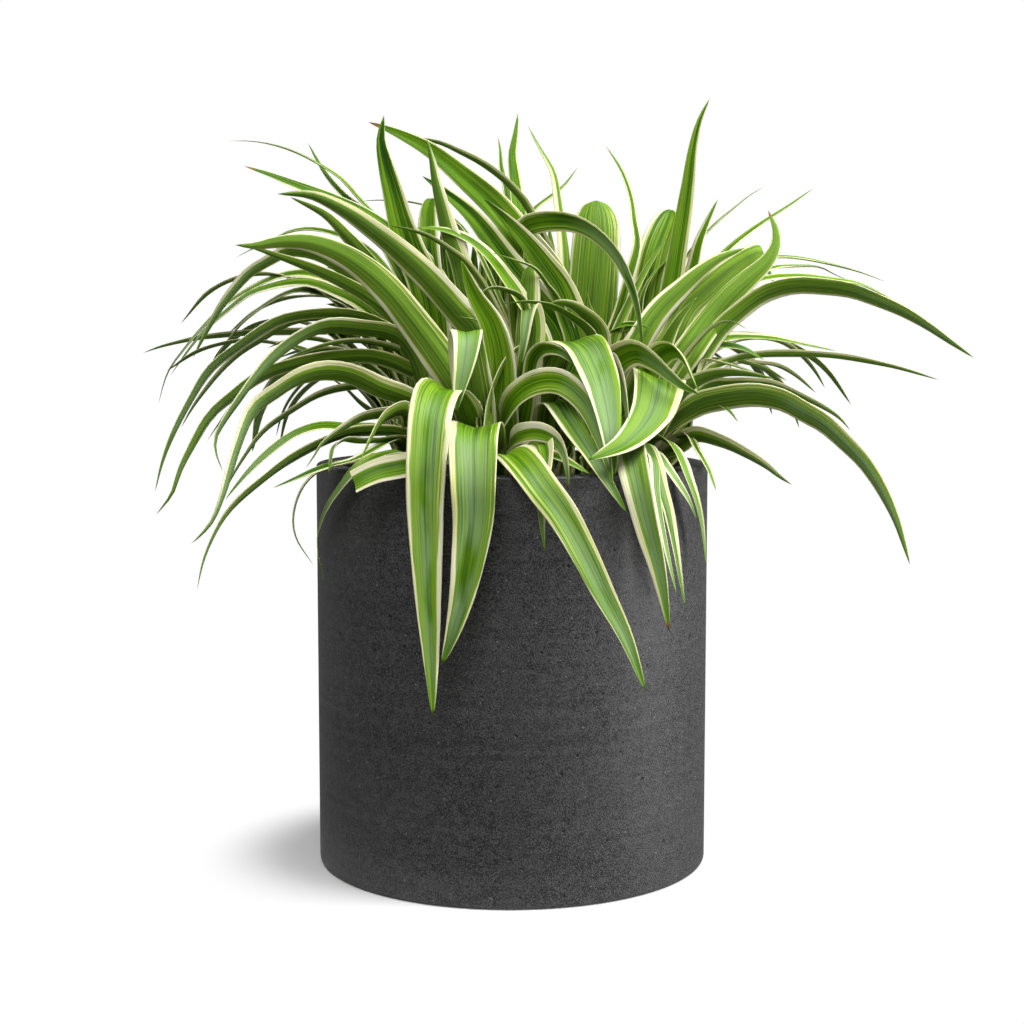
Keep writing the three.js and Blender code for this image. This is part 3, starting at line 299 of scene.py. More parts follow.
        [13, [[636, 450, -40], [645, 442, -58], [653, 455, -74], [658, 470, -82], [662, 488, -84],
         [668, 510, -84], [674, 540, -82], [679, 570, -80], [685, 607, -78]]],
        [10, [[645, 450, -20], [655, 438, -26], [668, 441, -36], [680, 455, -52], [688, 475, -65],
         [696, 498, -63], [702, 525, -57], [706, 565, -54]]],
        [8, [[640, 455, -38], [653, 452, -57], [664, 463, -71], [676, 480, -76], [688, 499, -72],
         [697, 520, -66]]],
        [10, [[640, 430, -60], [640, 450, -88], [643, 480, -102]]],
    ],
}

# ---- node graphs


class Wire:
    """A socket that sums and products can be written with."""

    def __init__(self, graph, socket):
        self.graph = graph
        self.socket = socket

    def maths(self, operation, first, second=0.0):
        return self.graph.out("ShaderNodeMath", {"operation": operation}, {0: first, 1: second})

    def __add__(self, other):
        return self.maths("ADD", self, other)

    def __sub__(self, other):
        return self.maths("SUBTRACT", self, other)

    def __rsub__(self, other):
        return self.maths("SUBTRACT", other, self)

    def __mul__(self, other):
        return self.maths("MULTIPLY", self, other)

    def __truediv__(self, other):
        return self.maths("DIVIDE", self, other)

    def __pow__(self, other):
        return self.maths("POWER", self, other)

    def __abs__(self):
        return self.maths("ABSOLUTE", self)

    def sine(self):
        return self.maths("SINE", self)

    def cosine(self):
        return self.maths("COSINE", self)


class Graph:
    """Adds nodes to a material's or a geometry's tree."""

    def __init__(self, tree):
        self.tree = tree

    def node(self, kind, settings=None, values=None):
        """One node. Its settings are made first, then each input gets its number or its wire."""
        node = self.tree.nodes.new(kind)
        for name, setting in (settings or {}).items():
            setattr(node, name, setting)
        for key, value in (values or {}).items():
            socket = node.inputs[key]
            if isinstance(value, Wire):
                self.tree.links.new(value.socket, socket)
            else:
                socket.default_value = value
        return node

    def out(self, kind, settings=None, values=None, output=0):
        """One node, of which only this output is used."""
        return Wire(self, self.node(kind, settings, values).outputs[output])

    def vector(self, operation, first, second=(0, 0, 0)):
        return self.out("ShaderNodeVectorMath", {"operation": operation}, {0: first, 1: second})

    def scaled(self, vector, factor):
        return self.out(
            "ShaderNodeVectorMath", {"operation": "SCALE"}, {"Vector": vector, "Scale": factor}
        )

    def vector_of(self, x, y, z):
        return self.out("ShaderNodeCombineXYZ", None, {"X": x, "Y": y, "Z": z})

    def ease(self, value, low, high):
        """0 below low and 1 above high, smooth between them."""
        return self.out(
            "ShaderNodeMapRange",
            {"interpolation_type": "SMOOTHSTEP"},
            {"Value": value, "From Min": low, "From Max": high, "To Min": 0.0, "To Max": 1.0},
        )

    def spread(self, value, low, high, to_low, to_high):
        """The stretch from low to high taken to another one, and held at its ends."""
        return self.out(
            "ShaderNodeMapRange",
            {"clamp": True},
            {"Value": value, "From Min": low, "From Max": high, "To Min": to_low, "To Max": to_high},
        )

    def noise(self, vector, scale=1.0, detail=2.0, roughness=0.5):
        return self.out(
            "ShaderNodeTexNoise",
            None,
            {"Vector": vector, "Scale": scale, "Detail": detail, "Roughness": roughness},
            "Fac",
        )


class Finish(Graph):
    """One material: its colour, roughness and relief are wires, the rest plain numbers."""

    def __init__(self, name):
        self.material = bpy.data.materials.new(name)
        self.material.use_nodes = True
        super().__init__(self.material.node_tree)
        self.tree.nodes.clear()

    def attribute(self, name):
        return self.out("ShaderNodeAttribute", {"attribute_name": name}, None, "Fac")

    def place(self):
        return self.out("ShaderNodeTexCoord", None, None, "Object")

    def blend(self, factor, first, second):
        """A colour between two colours."""
        values = {"Factor": factor, "A": first, "B": second}
        node = self.node("ShaderNodeMix", {"data_type": "RGBA", "clamp_factor": True})
        for socket in node.inputs:
            if socket.enabled and socket.name in values:
                self.feed(socket, values[socket.name])
        return Wire(self, next(socket for socket in node.outputs if socket.enabled))

    def layered(self, colour, *layers):
        """A colour under others, each given as where it lies, how strongly, and its colour."""
        for where, share, above in layers:
            colour = self.blend(where * share, colour, above)
        return colour

    def feed(self, socket, value):
        """Gives a socket its wire, its colour or its number."""
        if isinstance(value, Wire):
            self.tree.links.new(value.socket, socket)
        elif socket.type == "RGBA" and len(value) == 3:
            socket.default_value = (*value, 1.0)
        else:
            socket.default_value = value

    def cells(self, vector, scale):
        """The distance to the nearest of many scattered points, in units of the scale."""
        values = {"Vector": vector, "Scale": scale, "Randomness": 1.0}
        return self.out("ShaderNodeTexVoronoi", {"feature": "F1"}, values, "Distance")

    def close(self, colour, roughness, relief=None, relief_depth=0.0, **plain):
        """The surface itself. Plain settings are the same all over it."""
        shader = self.node("ShaderNodeBsdfPrincipled")
        self.feed(shader.inputs["Base Color"], colour)
        self.feed(shader.inputs["Roughness"], roughness)
        for name, value in plain.items():
            shader.inputs[name.replace("_", " ").title().replace("Ior", "IOR")].default_value = value
        if relief is not None:
            bump = {"Height": relief, "Strength": 1.0, "Distance": relief_depth}
            normal = self.out("ShaderNodeBump", None, bump)
            self.tree.links.new(normal.socket, shader.inputs["Normal"])
        output = self.node("ShaderNodeOutputMaterial")
        self.tree.links.new(shader.outputs["BSDF"], output.inputs["Surface"])
        return self.material


SOCKETS = {float: "Float", int: "Int", bpy.types.Material: "Material"}


class Shape(Graph):
    """One Geometry Nodes tree with a named input for each of its sizes."""

    def __init__(self, name, sizes):
        super().__init__(bpy.data.node_groups.new(name, "GeometryNodeTree"))
        for way in ("INPUT", "OUTPUT"):
            self.tree.interface.new_socket("Geometry", in_out=way, socket_type="NodeSocketGeometry")
        self.sizes = {}
        for size, value in sizes.items():
            kind = f"NodeSocket{SOCKETS[type(value)]}"
            socket = self.tree.interface.new_socket(size, in_out="INPUT", socket_type=kind)
            self.sizes[socket.identifier] = value
        self.group = self.node("NodeGroupInput")

    def size(self, name):
        return Wire(self, self.group.outputs[name])

    def step(self, kind, **inputs):
        """A geometry node without settings, of which only the first output is used."""
        return self.out(f"GeometryNode{kind}", None, inputs)

    def named(self, name, kind="FLOAT"):
        return self.out("GeometryNodeInputNamedAttribute", {"data_type": kind}, {"Name": name})

    def store(self, geometry, name, value, kind="FLOAT"):
        settings = {"data_type": kind, "domain": "POINT"}
        values = {"Geometry": geometry, "Name": name, "Value": value}
        return self.out("GeometryNodeStoreNamedAttribute", settings, values)

    def drawn(self, kind, low, high, seed):
        """A random value for each point or instance."""
        values = {"Min": low, "Max": high, "Seed": seed}
        return self.out("FunctionNodeRandomValue", {"data_type": kind}, values)

    def finish(self, geometry, material):
        """Every tree ends in real geometry with its material."""
        real = self.step("RealizeInstances", Geometry=geometry)
        done = self.step("SetMaterial", Geometry=real, Material=material)
        output = self.node("NodeGroupOutput")
        self.tree.links.new(done.socket, output.inputs[0])

    def grow(self, name, mesh):
        """Runs the tree on a mesh and gives the result as a plain mesh object."""
        piece = bpy.data.objects.new(name, mesh)
        bpy.context.scene.collection.objects.link(piece)
        modifier = piece.modifiers.new(name, "NODES")
        modifier.node_group = self.tree
        for identifier, value in self.sizes.items():
            modifier[identifier] = value
        depsgraph = bpy.context.evaluated_depsgraph_get()
        real = bpy.data.meshes.new_from_object(
            piece.evaluated_get(depsgraph), preserve_all_data_layers=True, depsgraph=depsgraph
        )
        piece.modifiers.remove(modifier)
        piece.data = real
        real.name = name
        return piece


# ---- small helpers


def tint(red, green, blue):
    """A colour as it is seen, 0 to 255, as the linear numbers that a material takes."""
    def linear(part):
        share = part / 255
        return share / 12.92 if share <= 0.04045 else ((share + 0.055) / 1.055) ** 2.4
    return (linear(red), linear(green), linear(blue))


def mix(a, b, t):
    return a + (b - a) * t


def smooth(t):
    s = min(max(t, 0), 1)
    return s * s * (3 - 2 * s)


def settle(piece, slot, *nodes):
    """Says what the piece rides on and hides the frame's parts that it stands for."""
    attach(piece, "root")
    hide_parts(*nodes)


def solid(name, points, faces, material):
    """A smooth-shaded mesh object from points in mm."""
    mesh = bpy.data.meshes.new(name)
    mesh.from_pydata([point * MM for point in map(Vector, points)], [], faces)
    mesh.polygons.foreach_set("use_smooth", [True] * len(mesh.polygons))
    mesh.materials.append(material)
    piece = bpy.data.objects.new(name, mesh)
    bpy.context.scene.collection.objects.link(piece)
    return piece


def turned(profile, sides):
    """Points and faces of a profile of (radius, height) turned about Z, from axis to axis."""
    points = [(0, 0, profile[0][1])]
    for radius, height in profile[1:-1]:
        for i in range(sides):
            angle = 2 * math.pi * i / sides
            points.append((radius * math.cos(angle), radius * math.sin(angle), height))
    points.append((0, 0, profile[-1][1]))
    rings = len(profile) - 2
    faces = []
    for i in range(sides):
        j = (i + 1) % sides
        faces.append((0, 1 + j, 1 + i))
        for k in range(rings - 1):
            low = 1 + k * sides
            faces.append((low + i, low + j, low + sides + j, low + sides + i))
        last = 1 + (rings - 1) * sides
        faces.append((last + i, last + j, len(points) - 1))
    return points, faces


def arc(centre_radius, centre_height, size, first, last):
    """The points of a rounded edge, from one direction in degrees to another."""
    points = []
    for k in range(EDGE_STEPS + 1):
        angle = math.radians(mix(first, last, k / EDGE_STEPS))
        points.append(
            (centre_radius + size * math.cos(angle), centre_height + size * math.sin(angle))
        )
    return points


# ---- leaf routes


def place(across, down, depth):
    """The point, in mm, seen at a place in the picture at a depth along +Y."""
    ray = LOOK + Vector((1, 0, 0)) * ((across - PICTURE_MIDDLE) / PICTURE_FOCAL)
    ray += LOOK_UP * ((PICTURE_MIDDLE - down) / PICTURE_FOCAL)
    return EYE + ray * ((depth - EYE.y) / ray.y)


def placed(route):
    """Fills in the depths left out of a route, by the distance travelled across the picture."""
    travelled = [0]
    for here, there in zip(route, route[1:]):
        travelled.append(travelled[-1] + math.hypot(there[0] - here[0], there[1] - here[1]))
    known = [i for i, point in enumerate(route) if len(point) > 2]
    points = []
    for i, point in enumerate(route):
        if len(point) > 2:
            depth = point[2]
        else:
            before = max(k for k in known if k < i)
            after = min(k for k in known if k > i)
            share = (travelled[i] - travelled[before]) / (travelled[after] - travelled[before])
            depth = mix(route[before][2], route[after][2], share)
        points.append(place(point[0], point[1], depth))
    return points


def bundle_at(tuft, rise):
    """The middle of a tuft's bundle at a height above the soil."""
    share = max(rise - STUB_UPRIGHT, 0) / (STUB_RISE - STUB_UPRIGHT)
    (x, y), (lean_x, lean_y) = TUFTS[tuft]["at"], TUFTS[tuft]["lean"]
    return Vector((x + lean_x * share, y + lean_y * share, soil_top() + rise))


def soil_top():
    return sizes().soil_top / MM


def rooted(tuft, points):
    """Adds the root in the tuft's bundle and the neck where the leaf leaves it."""
    ahead = points[0] - bundle_at(tuft, STUB_RISE * LEVEL_FROM)
    level = math.hypot(ahead.x, ahead.y)
    steep = min(max(math.atan2(ahead.z, level) / (math.pi / 2), 0), 1)
    out = Vector((ahead.x, ahead.y, 0)).normalized()
    rise = STUB_RISE * mix(*NECK_RISE, steep)
    reach = min(STUB_TOP_RADIUS * mix(*NECK_REACH, steep), level / 2)
    root = bundle_at(tuft, rise * ROOT_RISE) + out * (reach * ROOT_REACH)
    neck = bundle_at(tuft, rise) + out * reach
    return [root, neck, *points]


def span(before, start, end, after):
    """The smooth curve between two points of a route, as a function of 0 to 1."""
    gaps = [max((q - p).length, 1e-6) ** 0.5 for p, q in ((before, start), (start, end), (end, after))]
    leave = (start - before) / gaps[0] - (end - before) / (gaps[0] + gaps[1]) + (end - start) / gaps[1]
    arrive = (end - start) / gaps[1] - (after - start) / (gaps[1] + gaps[2]) + (after - end) / gaps[2]
    leave = leave * gaps[1]
    arrive = arrive * gaps[1]
    bend = (start - end) * 2 + leave + arrive
    curl = (end - start) * 3 - leave * 2 - arrive
    return lambda t: ((bend * t + curl) * t + leave) * t + start


def fine_points(points, count):
    """Closely spaced points on the smooth curve through a route."""
    route = [points[0] * 2 - points[1], *points, points[-1] * 2 - points[-2]]
    spans = [span(*route[i:i + 4]) for i in range(len(points) - 1)]
    fine = []
    for i in range(count + 1):
        position = i / count * len(spans)
        k = min(int(position), len(spans) - 1)
        fine.append(spans[k](position - k))
    return fine


FINE_STEPS = 240  # along every leaf, before its stations are chosen
LEAN_UP_TO = 0.4  # share of a leaf whose lean says which way its blade faces


def centreline(points):
    """Stations along a leaf: point, direction, side carried without twisting, and share of length."""
    fine = fine_points(points, FINE_STEPS)
    lengths = [0]
    for here, there in zip(fine, fine[1:]):
        lengths.append(lengths[-1] + (there - here).length)
    lean = fine[int(FINE_STEPS * LEAN_UP_TO)] - fine[0]
    side = Vector((lean.y, -lean.x, 0)).normalized()
    stations = []
    for i, point in enumerate(fine):
        along = (fine[min(i + 1, FINE_STEPS)] - fine[max(i - 1, 0)]).normalized()
        side = (side - along * side.dot(along)).normalized()
        stations.append((point, along, side, lengths[i] / lengths[-1]))
    return stations, lengths[-1]


# ---- leaf blades

RINGS = 40  # stations along a finished blade
RING_BIAS = 1.06  # above 1 they lie closer towards the tip
ROUND_BIAS = 1.9  # the same for a round end

# A blade grows from its base, has a narrow neck and closes at its tip: shares of its full width
# and of its length.
EDGE_LEAST = 0.4  # mm, the least half width
BASE_WIDTH = 0.62
GROWN_BY = 0.3
NECK_WIDTH = 0.5
NECK_LENGTH = 0.12
WIDEST = 0.45
TIP_CURVE = 2.6
TIP_SHARP = 0.8
FULL_TIP = (1 - WIDEST**TIP_CURVE) ** TIP_SHARP
ROUND_CURVE = 22

# How far each half is folded up, in degrees.
FOLD_BASE = 52
FOLD_MIDDLE = 17
FOLD_TIP = 24
FOLD_OPEN_BY = 0.4
FOLD_CLOSE_FROM = 0.6

# The roll of a blade about its length, in degrees, is found at these shares of its length.
SEEN_AT = [0.4, 0.55, 0.7]
ROLL_MOST = 80
ROLL_STEP = 4
ROLL_COST = 0.006
ROLLED_BY = 0.35

# A blade's width in mm from the width it is seen with, which is less where it is folded or rolled.
SEEN_SHARE = 0.7
SEEN_LEAST = 6
FOLDED_BY = 1.05

BIAS_MOST = 0.75  # share by which the cream is wider at one margin and narrower at the other
WAVE_HEIGHT = [0.02, 0.07]  # of a margin's waves, as a share of the half width
CREAM_WIDTH = (1.3, 3.0)  # mm from a margin
CREAM_MOST = 0.5
VEIN_GAP = 0.85  # mm from one vein to the next
PALE_REACH = 34  # mm from its root over which a leaf is pale

# How light a tuft's leaves are, from the darkest to the lightest, and those inside it. Within a range the
# tone differs at random; the ranges themselves are painted shade, darker for the west and back tufts, away
# from the lamps, and darkest for the leaves inside the foliage.
TONES_AND_SHADE = {
    "west": (0, 0.4),
    "front": (0.3, 0.9),
    "centre": (0.1, 0.7),
    "back_left": (0, 0.5),
    "back_right": (0.1, 0.6),
    "east": (0.2, 0.9),
    "front_east": (0.3, 0.9),
}
INNER_SHADE_TONES = (0, 0.25)

# How wide the cream margin is, in mm, on a tuft's leaves, from the narrowest to the widest.
MARGINS = {
    "west": (0.7, 1.9),
    "front": (1.5, 3.2),
    "centre": (1.1, 2.6),
    "back_left": (0.9, 2.2),
    "back_right": (1.0, 2.4),
    "east": (1.2, 2.6),
    "front_east": (1.5, 3.0),
}
DRY_TIPS = [0, 0, 0, 0, 0, 0, 0.01, 0.025]  # share of a leaf that is dry, drawn from these
NEVER_DRY = -1


def half_width(width, share, end):
    """Half a blade's width at a share of its length."""
    grown = mix(BASE_WIDTH, 1, math.sin(min(share / GROWN_BY, 1) * math.pi / 2))
    neck = mix(NECK_WIDTH, 1, smooth(share / NECK_LENGTH))
    tips = {
        "": (1 - share**TIP_CURVE) ** TIP_SHARP / FULL_TIP,
        "cut": 1,
        "round": (1 - share**ROUND_CURVE) ** 0.5,
    }
    return max(width / 2 * grown * neck * tips[end], EDGE_LEAST)


def fold_angle(share):
    """How far each half is folded up at a share of a blade's length."""
    opened = mix(FOLD_BASE, FOLD_MIDDLE, smooth(share / FOLD_OPEN_BY))
    closing = smooth((share - FOLD_CLOSE_FROM) / (1 - FOLD_CLOSE_FROM))
    return math.radians(mix(opened, FOLD_TIP, closing))


def rolled(along, side, roll):
    """The directions across a blade and out of its upper face, rolled about its own length."""
    up = side.cross(along)
    return (
        side * math.cos(roll) + up * math.sin(roll),
        up * math.cos(roll) - side * math.sin(roll),
    )


def seen_width(station, half, roll):
    """How wide a blade of this half width looks from the eye."""
    point, along, flat, share = station
    side, face = rolled(along, flat, roll)
    across = (point - EYE).normalized().cross(along).normalized()
    fold = fold_angle(share)
    reach = half * math.cos(fold) * side.dot(across)
    rise = half * math.sin(fold) * face.dot(across)
    ends = (rise + reach, rise - reach, 0)
    return max(ends) - min(ends)


def roll_for(stations, width, seen, end):
    """The roll that shows a blade as wide as the view does, preferring the smallest one."""
    marks = [next(one for one in stations if one[3] >= share) for share in SEEN_AT]
    halves = [half_width(width, mark[3], end) for mark in marks]

    def miss(degrees):
        total = ROLL_COST * abs(degrees)
        for mark, half in zip(marks, halves):
            looks = seen_width(mark, half, math.radians(degrees))
            total += abs(looks - seen * half * 2 / width) / len(marks)
        return total

    return math.radians(min(range(-ROLL_MOST, ROLL_MOST + 1, ROLL_STEP), key=miss))


def traced_leaf(tuft, row, draw, tones_and_shade=None):
    """A leaf from its row of a list."""
    seen_units, route, *ends = row
    end = ends[0] if ends else ""
    points = rooted(tuft, placed(route))
    middle = points[len(points) // 2]
    seen = seen_units * (middle.y - EYE.y) / PICTURE_FOCAL
    width = max(SEEN_SHARE * seen + SEEN_LEAST, FOLDED_BY * seen)
    stations, length = centreline(points)
    roll = roll_for(stations, width, seen, end)
    tones_and_shade = tones_and_shade or TONES_AND_SHADE[tuft]
    return leaf(stations, length, width, roll, draw, end=end, tones_and_shade=tones_and_shade, cream=MARGINS[tuft])


def leaf(stations, length, width, roll, draw, end="", tones_and_shade=(0, 1), cream=CREAM_WIDTH):
    """A leaf's stations and look, as the rows of numbers that the blade tree reads."""
    look = {
        "tone": draw.uniform(*tones_and_shade),
        "veins": width / 2 / VEIN_GAP,
        "cream": min(draw.uniform(*cream) / (width / 2), CREAM_MOST),
        "streaks": draw.random(),
        "bias": draw.uniform(-BIAS_MOST, BIAS_MOST),
        "dry": draw.choice(DRY_TIPS) if not end else NEVER_DRY,
        "seed": draw.random(),
        "wave": mix(*WAVE_HEIGHT, draw.random()),
    }
    bias = ROUND_BIAS if end == "round" else RING_BIAS
    shares = [1 - (1 - k / RINGS) ** bias for k in range(RINGS + 1)]
    rows = []
    k = 0
    for share in shares:
        while k < FINE_STEPS and stations[k][3] < share:
            k += 1
        point, along, flat, _ = stations[k]
        side, face = rolled(along, flat, roll * smooth(share / ROLLED_BY))
        last = share == 1 and end != "cut"
        rows.append({
            **look,
            "point": point,
            "side": side,
            "face": face,
            "half": 0.0 if last else half_width(width, share, end) * MM,
            "fold": fold_angle(share),
            "along": share,
            "fall": max(0.0, -along.z),
            "length": length * MM,
            "pale": 1 - smooth(share * length / PALE_REACH),
        })
    return rows


# ---- far-side leaves

# The same rule as the solids': [tuft, how many, first and last heading in degrees].
ARCHED = [
    ["back_left", 10, 92, 176],
    ["back_right", 9, 12, 88],
    ["west", 4, 128, 166],
    ["east", 4, 40, 72],
]
ARCH_POINTS = 7
ARCH_START = 6
ARCH_LENGTH = [120, 205]
ARCH_RISE = [46, 84]
ARCH_LAYER = 0.382
ARCH_DROP = [20, 78]
ARCH_CURVE = 1.25
ARCH_WIDTH = [11, 20]
ARCH_DRIFT = 14
ARCH_SCATTER = 0.15
ARCH_SEED = 20614
DRAW_FACTOR = 16807
DRAW_RANGE = 2147483647


def repeatable(seed):
    """The same row of numbers from 0 to 1 that the solids' leaves were drawn with."""
    state = seed
    while True:
        state = state * DRAW_FACTOR % DRAW_RANGE
        yield state / DRAW_RANGE


def arch(tuft, heading, length, rise, drop, drift):
    """A route that rises from the tuft and bends over."""
    at = bundle_at(tuft, STUB_RISE + ARCH_START)
    points = []
    for k in range(ARCH_POINTS):
        share = k / (ARCH_POINTS - 1)
        lift = math.radians(mix(rise, -drop, share**ARCH_CURVE))
        turn = math.radians(heading + drift * share)
        level = math.cos(lift)
        step = Vector((level * math.cos(turn), level * math.sin(turn), math.sin(lift)))
        at = at + step * (length / ARCH_POINTS)
        points.append(at)
    return centreline(rooted(tuft, points))


def arched_leaves(wanted, draw):
    """One tuft's far-side leaves. All are drawn each time, so each gets the numbers its solid had."""
    numbers = repeatable(ARCH_SEED)
    leaves = []
    for tuft, count, first, last in ARCHED:
        for i in range(count):
            share = (i + ARCH_SCATTER * mix(-1, 1, next(numbers))) / (count - 1)
            length = mix(*ARCH_LENGTH, next(numbers))
            rise = mix(*ARCH_RISE, (i * ARCH_LAYER) % 1)
            drop = mix(*ARCH_DROP, next(numbers))
            width = mix(*ARCH_WIDTH, next(numbers))
            drift = ARCH_DRIFT * mix(-1, 1, next(numbers))
            if tuft == wanted:
                stations, total = arch(tuft, mix(first, last, share), length, rise, drop, drift)
                leaves.append(
                    leaf(stations, total, width, 0, draw, tones_and_shade=TONES_AND_SHADE[tuft], cream=MARGINS[tuft])
                )
    return leaves


# ---- inner leaves

# Younger leaves inside the foliage: [tuft, how many, first and last heading in degrees, longest].
INNER = [
    ["west", 9, 70, 200, 105],
    ["front", 3, 60, 120, 70],
    ["centre", 8, 20, 160, 110],
    ["back_left", 12, 20, 250, 125],
    ["back_right", 12, -70, 160, 125],
    ["east", 9, -20, 110, 105],
    ["front_east", 2, 20, 120, 75],
]
INNER_SHORTEST = 60
INNER_RISE = [62, 86]
INNER_DROP = [-40, 30]
INNER_WIDTH = [7, 15]
INNER_ROLL = 35
INNER_CREAM = [0.5, 1.4]
INNER_SEED = 77

# Leaves behind the others in the middle of the plant, listed as the traced ones are.
FILLING = {
    "back_left": [
        [22, [[488, 395, 52], [479, 330], [475, 285], [474, 240, 60]]],
    ],
    "back_right": [
        [24, [[560, 400, 44], [556, 330], [553, 275], [549, 226, 60]]],
        [20, [[575, 400, 40], [570, 330], [567, 270], [566, 236, 52]]],
    ],
}

SHEATHS = 9  # short pale blades wrapped round a tuft's foot
SHEATH_SCATTER = 0.3  # of the step from one to the next
SHEATH_SHARES = (0, 0.35, 0.7, 1)
SHEATH_HUG = 0.25
SHEATH_FLARE = 4
SHEATH_SINK = 3
SHEATH_RISE = [16, 32]
SHEATH_RADIUS = [7.5, 9.5]
SHEATH_WIDTH = 13


def inner_leaves(wanted, draw):
    """One tuft's young leaves, and those of the list that fill its middle."""
    leaves = []
    for tuft, count, first, last, longest in INNER:
        if tuft != wanted:
            continue
        for i in range(count):
            heading = mix(first, last, (i + draw.random()) / count)
            stations, total = arch(
                tuft,
                heading,
                draw.uniform(INNER_SHORTEST, longest),
                draw.uniform(*INNER_RISE),
                draw.uniform(*INNER_DROP),
                draw.uniform(-ARCH_DRIFT, ARCH_DRIFT),
            )
            roll = math.radians(draw.uniform(-INNER_ROLL, INNER_ROLL))
            width = draw.uniform(*INNER_WIDTH)
            # These leaves inside the foliage are darkened by the inner tones, as painted shade.
            leaves.append(
                leaf(stations, total, width, roll, draw, tones_and_shade=INNER_SHADE_TONES, cream=INNER_CREAM)
            )
    # The filling leaves behind the others take the same darker inner tones, as painted shade.
    leaves += [traced_leaf(wanted, row, draw, INNER_SHADE_TONES) for row in FILLING.get(wanted, ())]
    return leaves


def sheaths(tuft, draw):
    """The bases of old leaves, folded round the foot of the tuft."""
    leaves = []
    for i in range(SHEATHS):
        angle = 2 * math.pi * (i + SHEATH_SCATTER * draw.random()) / SHEATHS
        out = Vector((math.cos(angle), math.sin(angle), 0))
        rise = draw.uniform(*SHEATH_RISE)
        radius = draw.uniform(*SHEATH_RADIUS)
        points = []
        for share in SHEATH_SHARES:
            height = mix(-SHEATH_SINK, rise, share)
            hug = 1 - SHEATH_HUG * math.sin(share * math.pi / 2)
            points.append(bundle_at(tuft, height) + out * (radius * hug + SHEATH_FLARE * share**3))
        stations, total = centreline(points)
        leaves.append(leaf(stations, total, SHEATH_WIDTH, 0, draw))
    return leaves


# ---- geometry trees

LOOKS = (
    "half", "fold", "along", "fall", "length", "pale", "tone", "veins", "cream", "streaks", "bias", "dry",
    "seed", "wave",
)
DIRECTIONS = ("side", "face")
MIDRIB_DROP = 0.4  # share of the fold that hangs below the leaf's route
WAVE_LAG = 2.1  # radians from one margin's waves to the other's
RIM_POWER = 3  # the higher, the closer to the margin the waves stay
THINS_FROM = 0.003  # half width below which a blade gets thinner too


def routes_mesh(name, leaves):
    """A mesh of bare lines, one for each leaf, that carries each station's numbers."""
    rows = [row for one in leaves for row in one]
    lines = []
    first = 0
    for one in leaves:
        lines += [(first + i, first + i + 1) for i in range(len(one) - 1)]
        first += len(one)
    mesh = bpy.data.meshes.new(name)
    mesh.from_pydata([row["point"] * MM for row in rows], lines, [])
    for look in LOOKS:
        layer = mesh.attributes.new(look, "FLOAT", "POINT")
        layer.data.foreach_set("value", [row[look] for row in rows])
    for direction in DIRECTIONS:
        layer = mesh.attributes.new(direction, "FLOAT_VECTOR", "POINT")
        layer.data.foreach_set("vector", [part for row in rows for part in row[direction]])
    return mesh


def blade_shape(look, material):
    """Sweeps a thin folded section along each line."""
    shape = Shape("leaf blades", {
        "Thickness": look.thickness,
        "Points across": look.points_across,
        "Crease roundness": look.crease,
        "Margin curl": look.curl,
        "Waves": look.waves,
        "Closing distance": look.closing,
        "Material": material,
    })
    routes = shape.step("MeshToCurve", Mesh=shape.size("Geometry"))
    routes = shape.store(routes, "centre", shape.step("InputPosition"), "FLOAT_VECTOR")
    section = shape.out(
        "GeometryNodeCurvePrimitiveCircle", {"mode": "RADIUS"}, {"Resolution": shape.size("Points across")}
    )
    spot = shape.node("ShaderNodeSeparateXYZ", None, {0: shape.step("InputPosition")})
    section = shape.store(section, "across", Wire(shape, spot.outputs["X"]))
    section = shape.store(section, "layer", Wire(shape, spot.outputs["Y"]))
    swept = shape.out(
        "GeometryNodeCurveToMesh", None, {"Curve": routes, "Profile Curve": section, "Fill Caps": True}
    )

    half, fold, across, layer = (shape.named(one) for one in ("half", "fold", "across", "layer"))
    along, length, seed, wave = (shape.named(one) for one in ("along", "length", "seed", "wave"))
    soft = shape.size("Crease roundness")
    crease = (across * across + soft * soft) ** 0.5 - soft
    reach = half * fold.cosine()
    rise = half * fold.sine()
    phase = (along * length * shape.size("Waves") + seed) * (2 * math.pi)
    sideways = shape.out("GeometryNodeSwitch", {"input_type": "FLOAT"}, {
        "Switch": shape.out("FunctionNodeCompare", {"operation": "LESS_THAN"}, {"A": across, "B": 0.0}),
        "False": 0.0,
        "True": WAVE_LAG,
    })
    ripple = (phase + sideways).sine()
    rim = abs(across) ** RIM_POWER
    lift = rise * (crease - MIDRIB_DROP) + half * rim * (ripple * wave - shape.size("Margin curl"))
    thin = shape.spread(half, 0.0, THINS_FROM, 0.0, 1.0)
    lift = lift + layer * shape.size("Thickness") * 0.5 * thin
    target = shape.vector("ADD", shape.named("centre", "FLOAT_VECTOR"), shape.vector(
        "ADD",
        shape.scaled(shape.named("side", "FLOAT_VECTOR"), reach * across),
        shape.scaled(shape.named("face", "FLOAT_VECTOR"), lift),
    ))
    bent = shape.step("SetPosition", Geometry=swept, Position=target)
    closed = shape.step("MergeByDistance", Geometry=bent, Distance=shape.size("Closing distance"))
    shape.finish(shape.step("SetShadeSmooth", Geometry=closed), shape.size("Material"))
    return shape


CRUMB_FINENESS = 2  # times that its faces are split
CRUMB_TURN = (6.28, 6.28, 6.28)
CRUMB_LEAST = (0.35, 0.35, 0.25)  # its three widths, in crumb sizes
CRUMB_MOST = (1.6, 1.1, 0.8)
CRUMB_GRAIN = 420.0
CRUMB_ROUGHNESS = 0.7
WELD = 1e-6


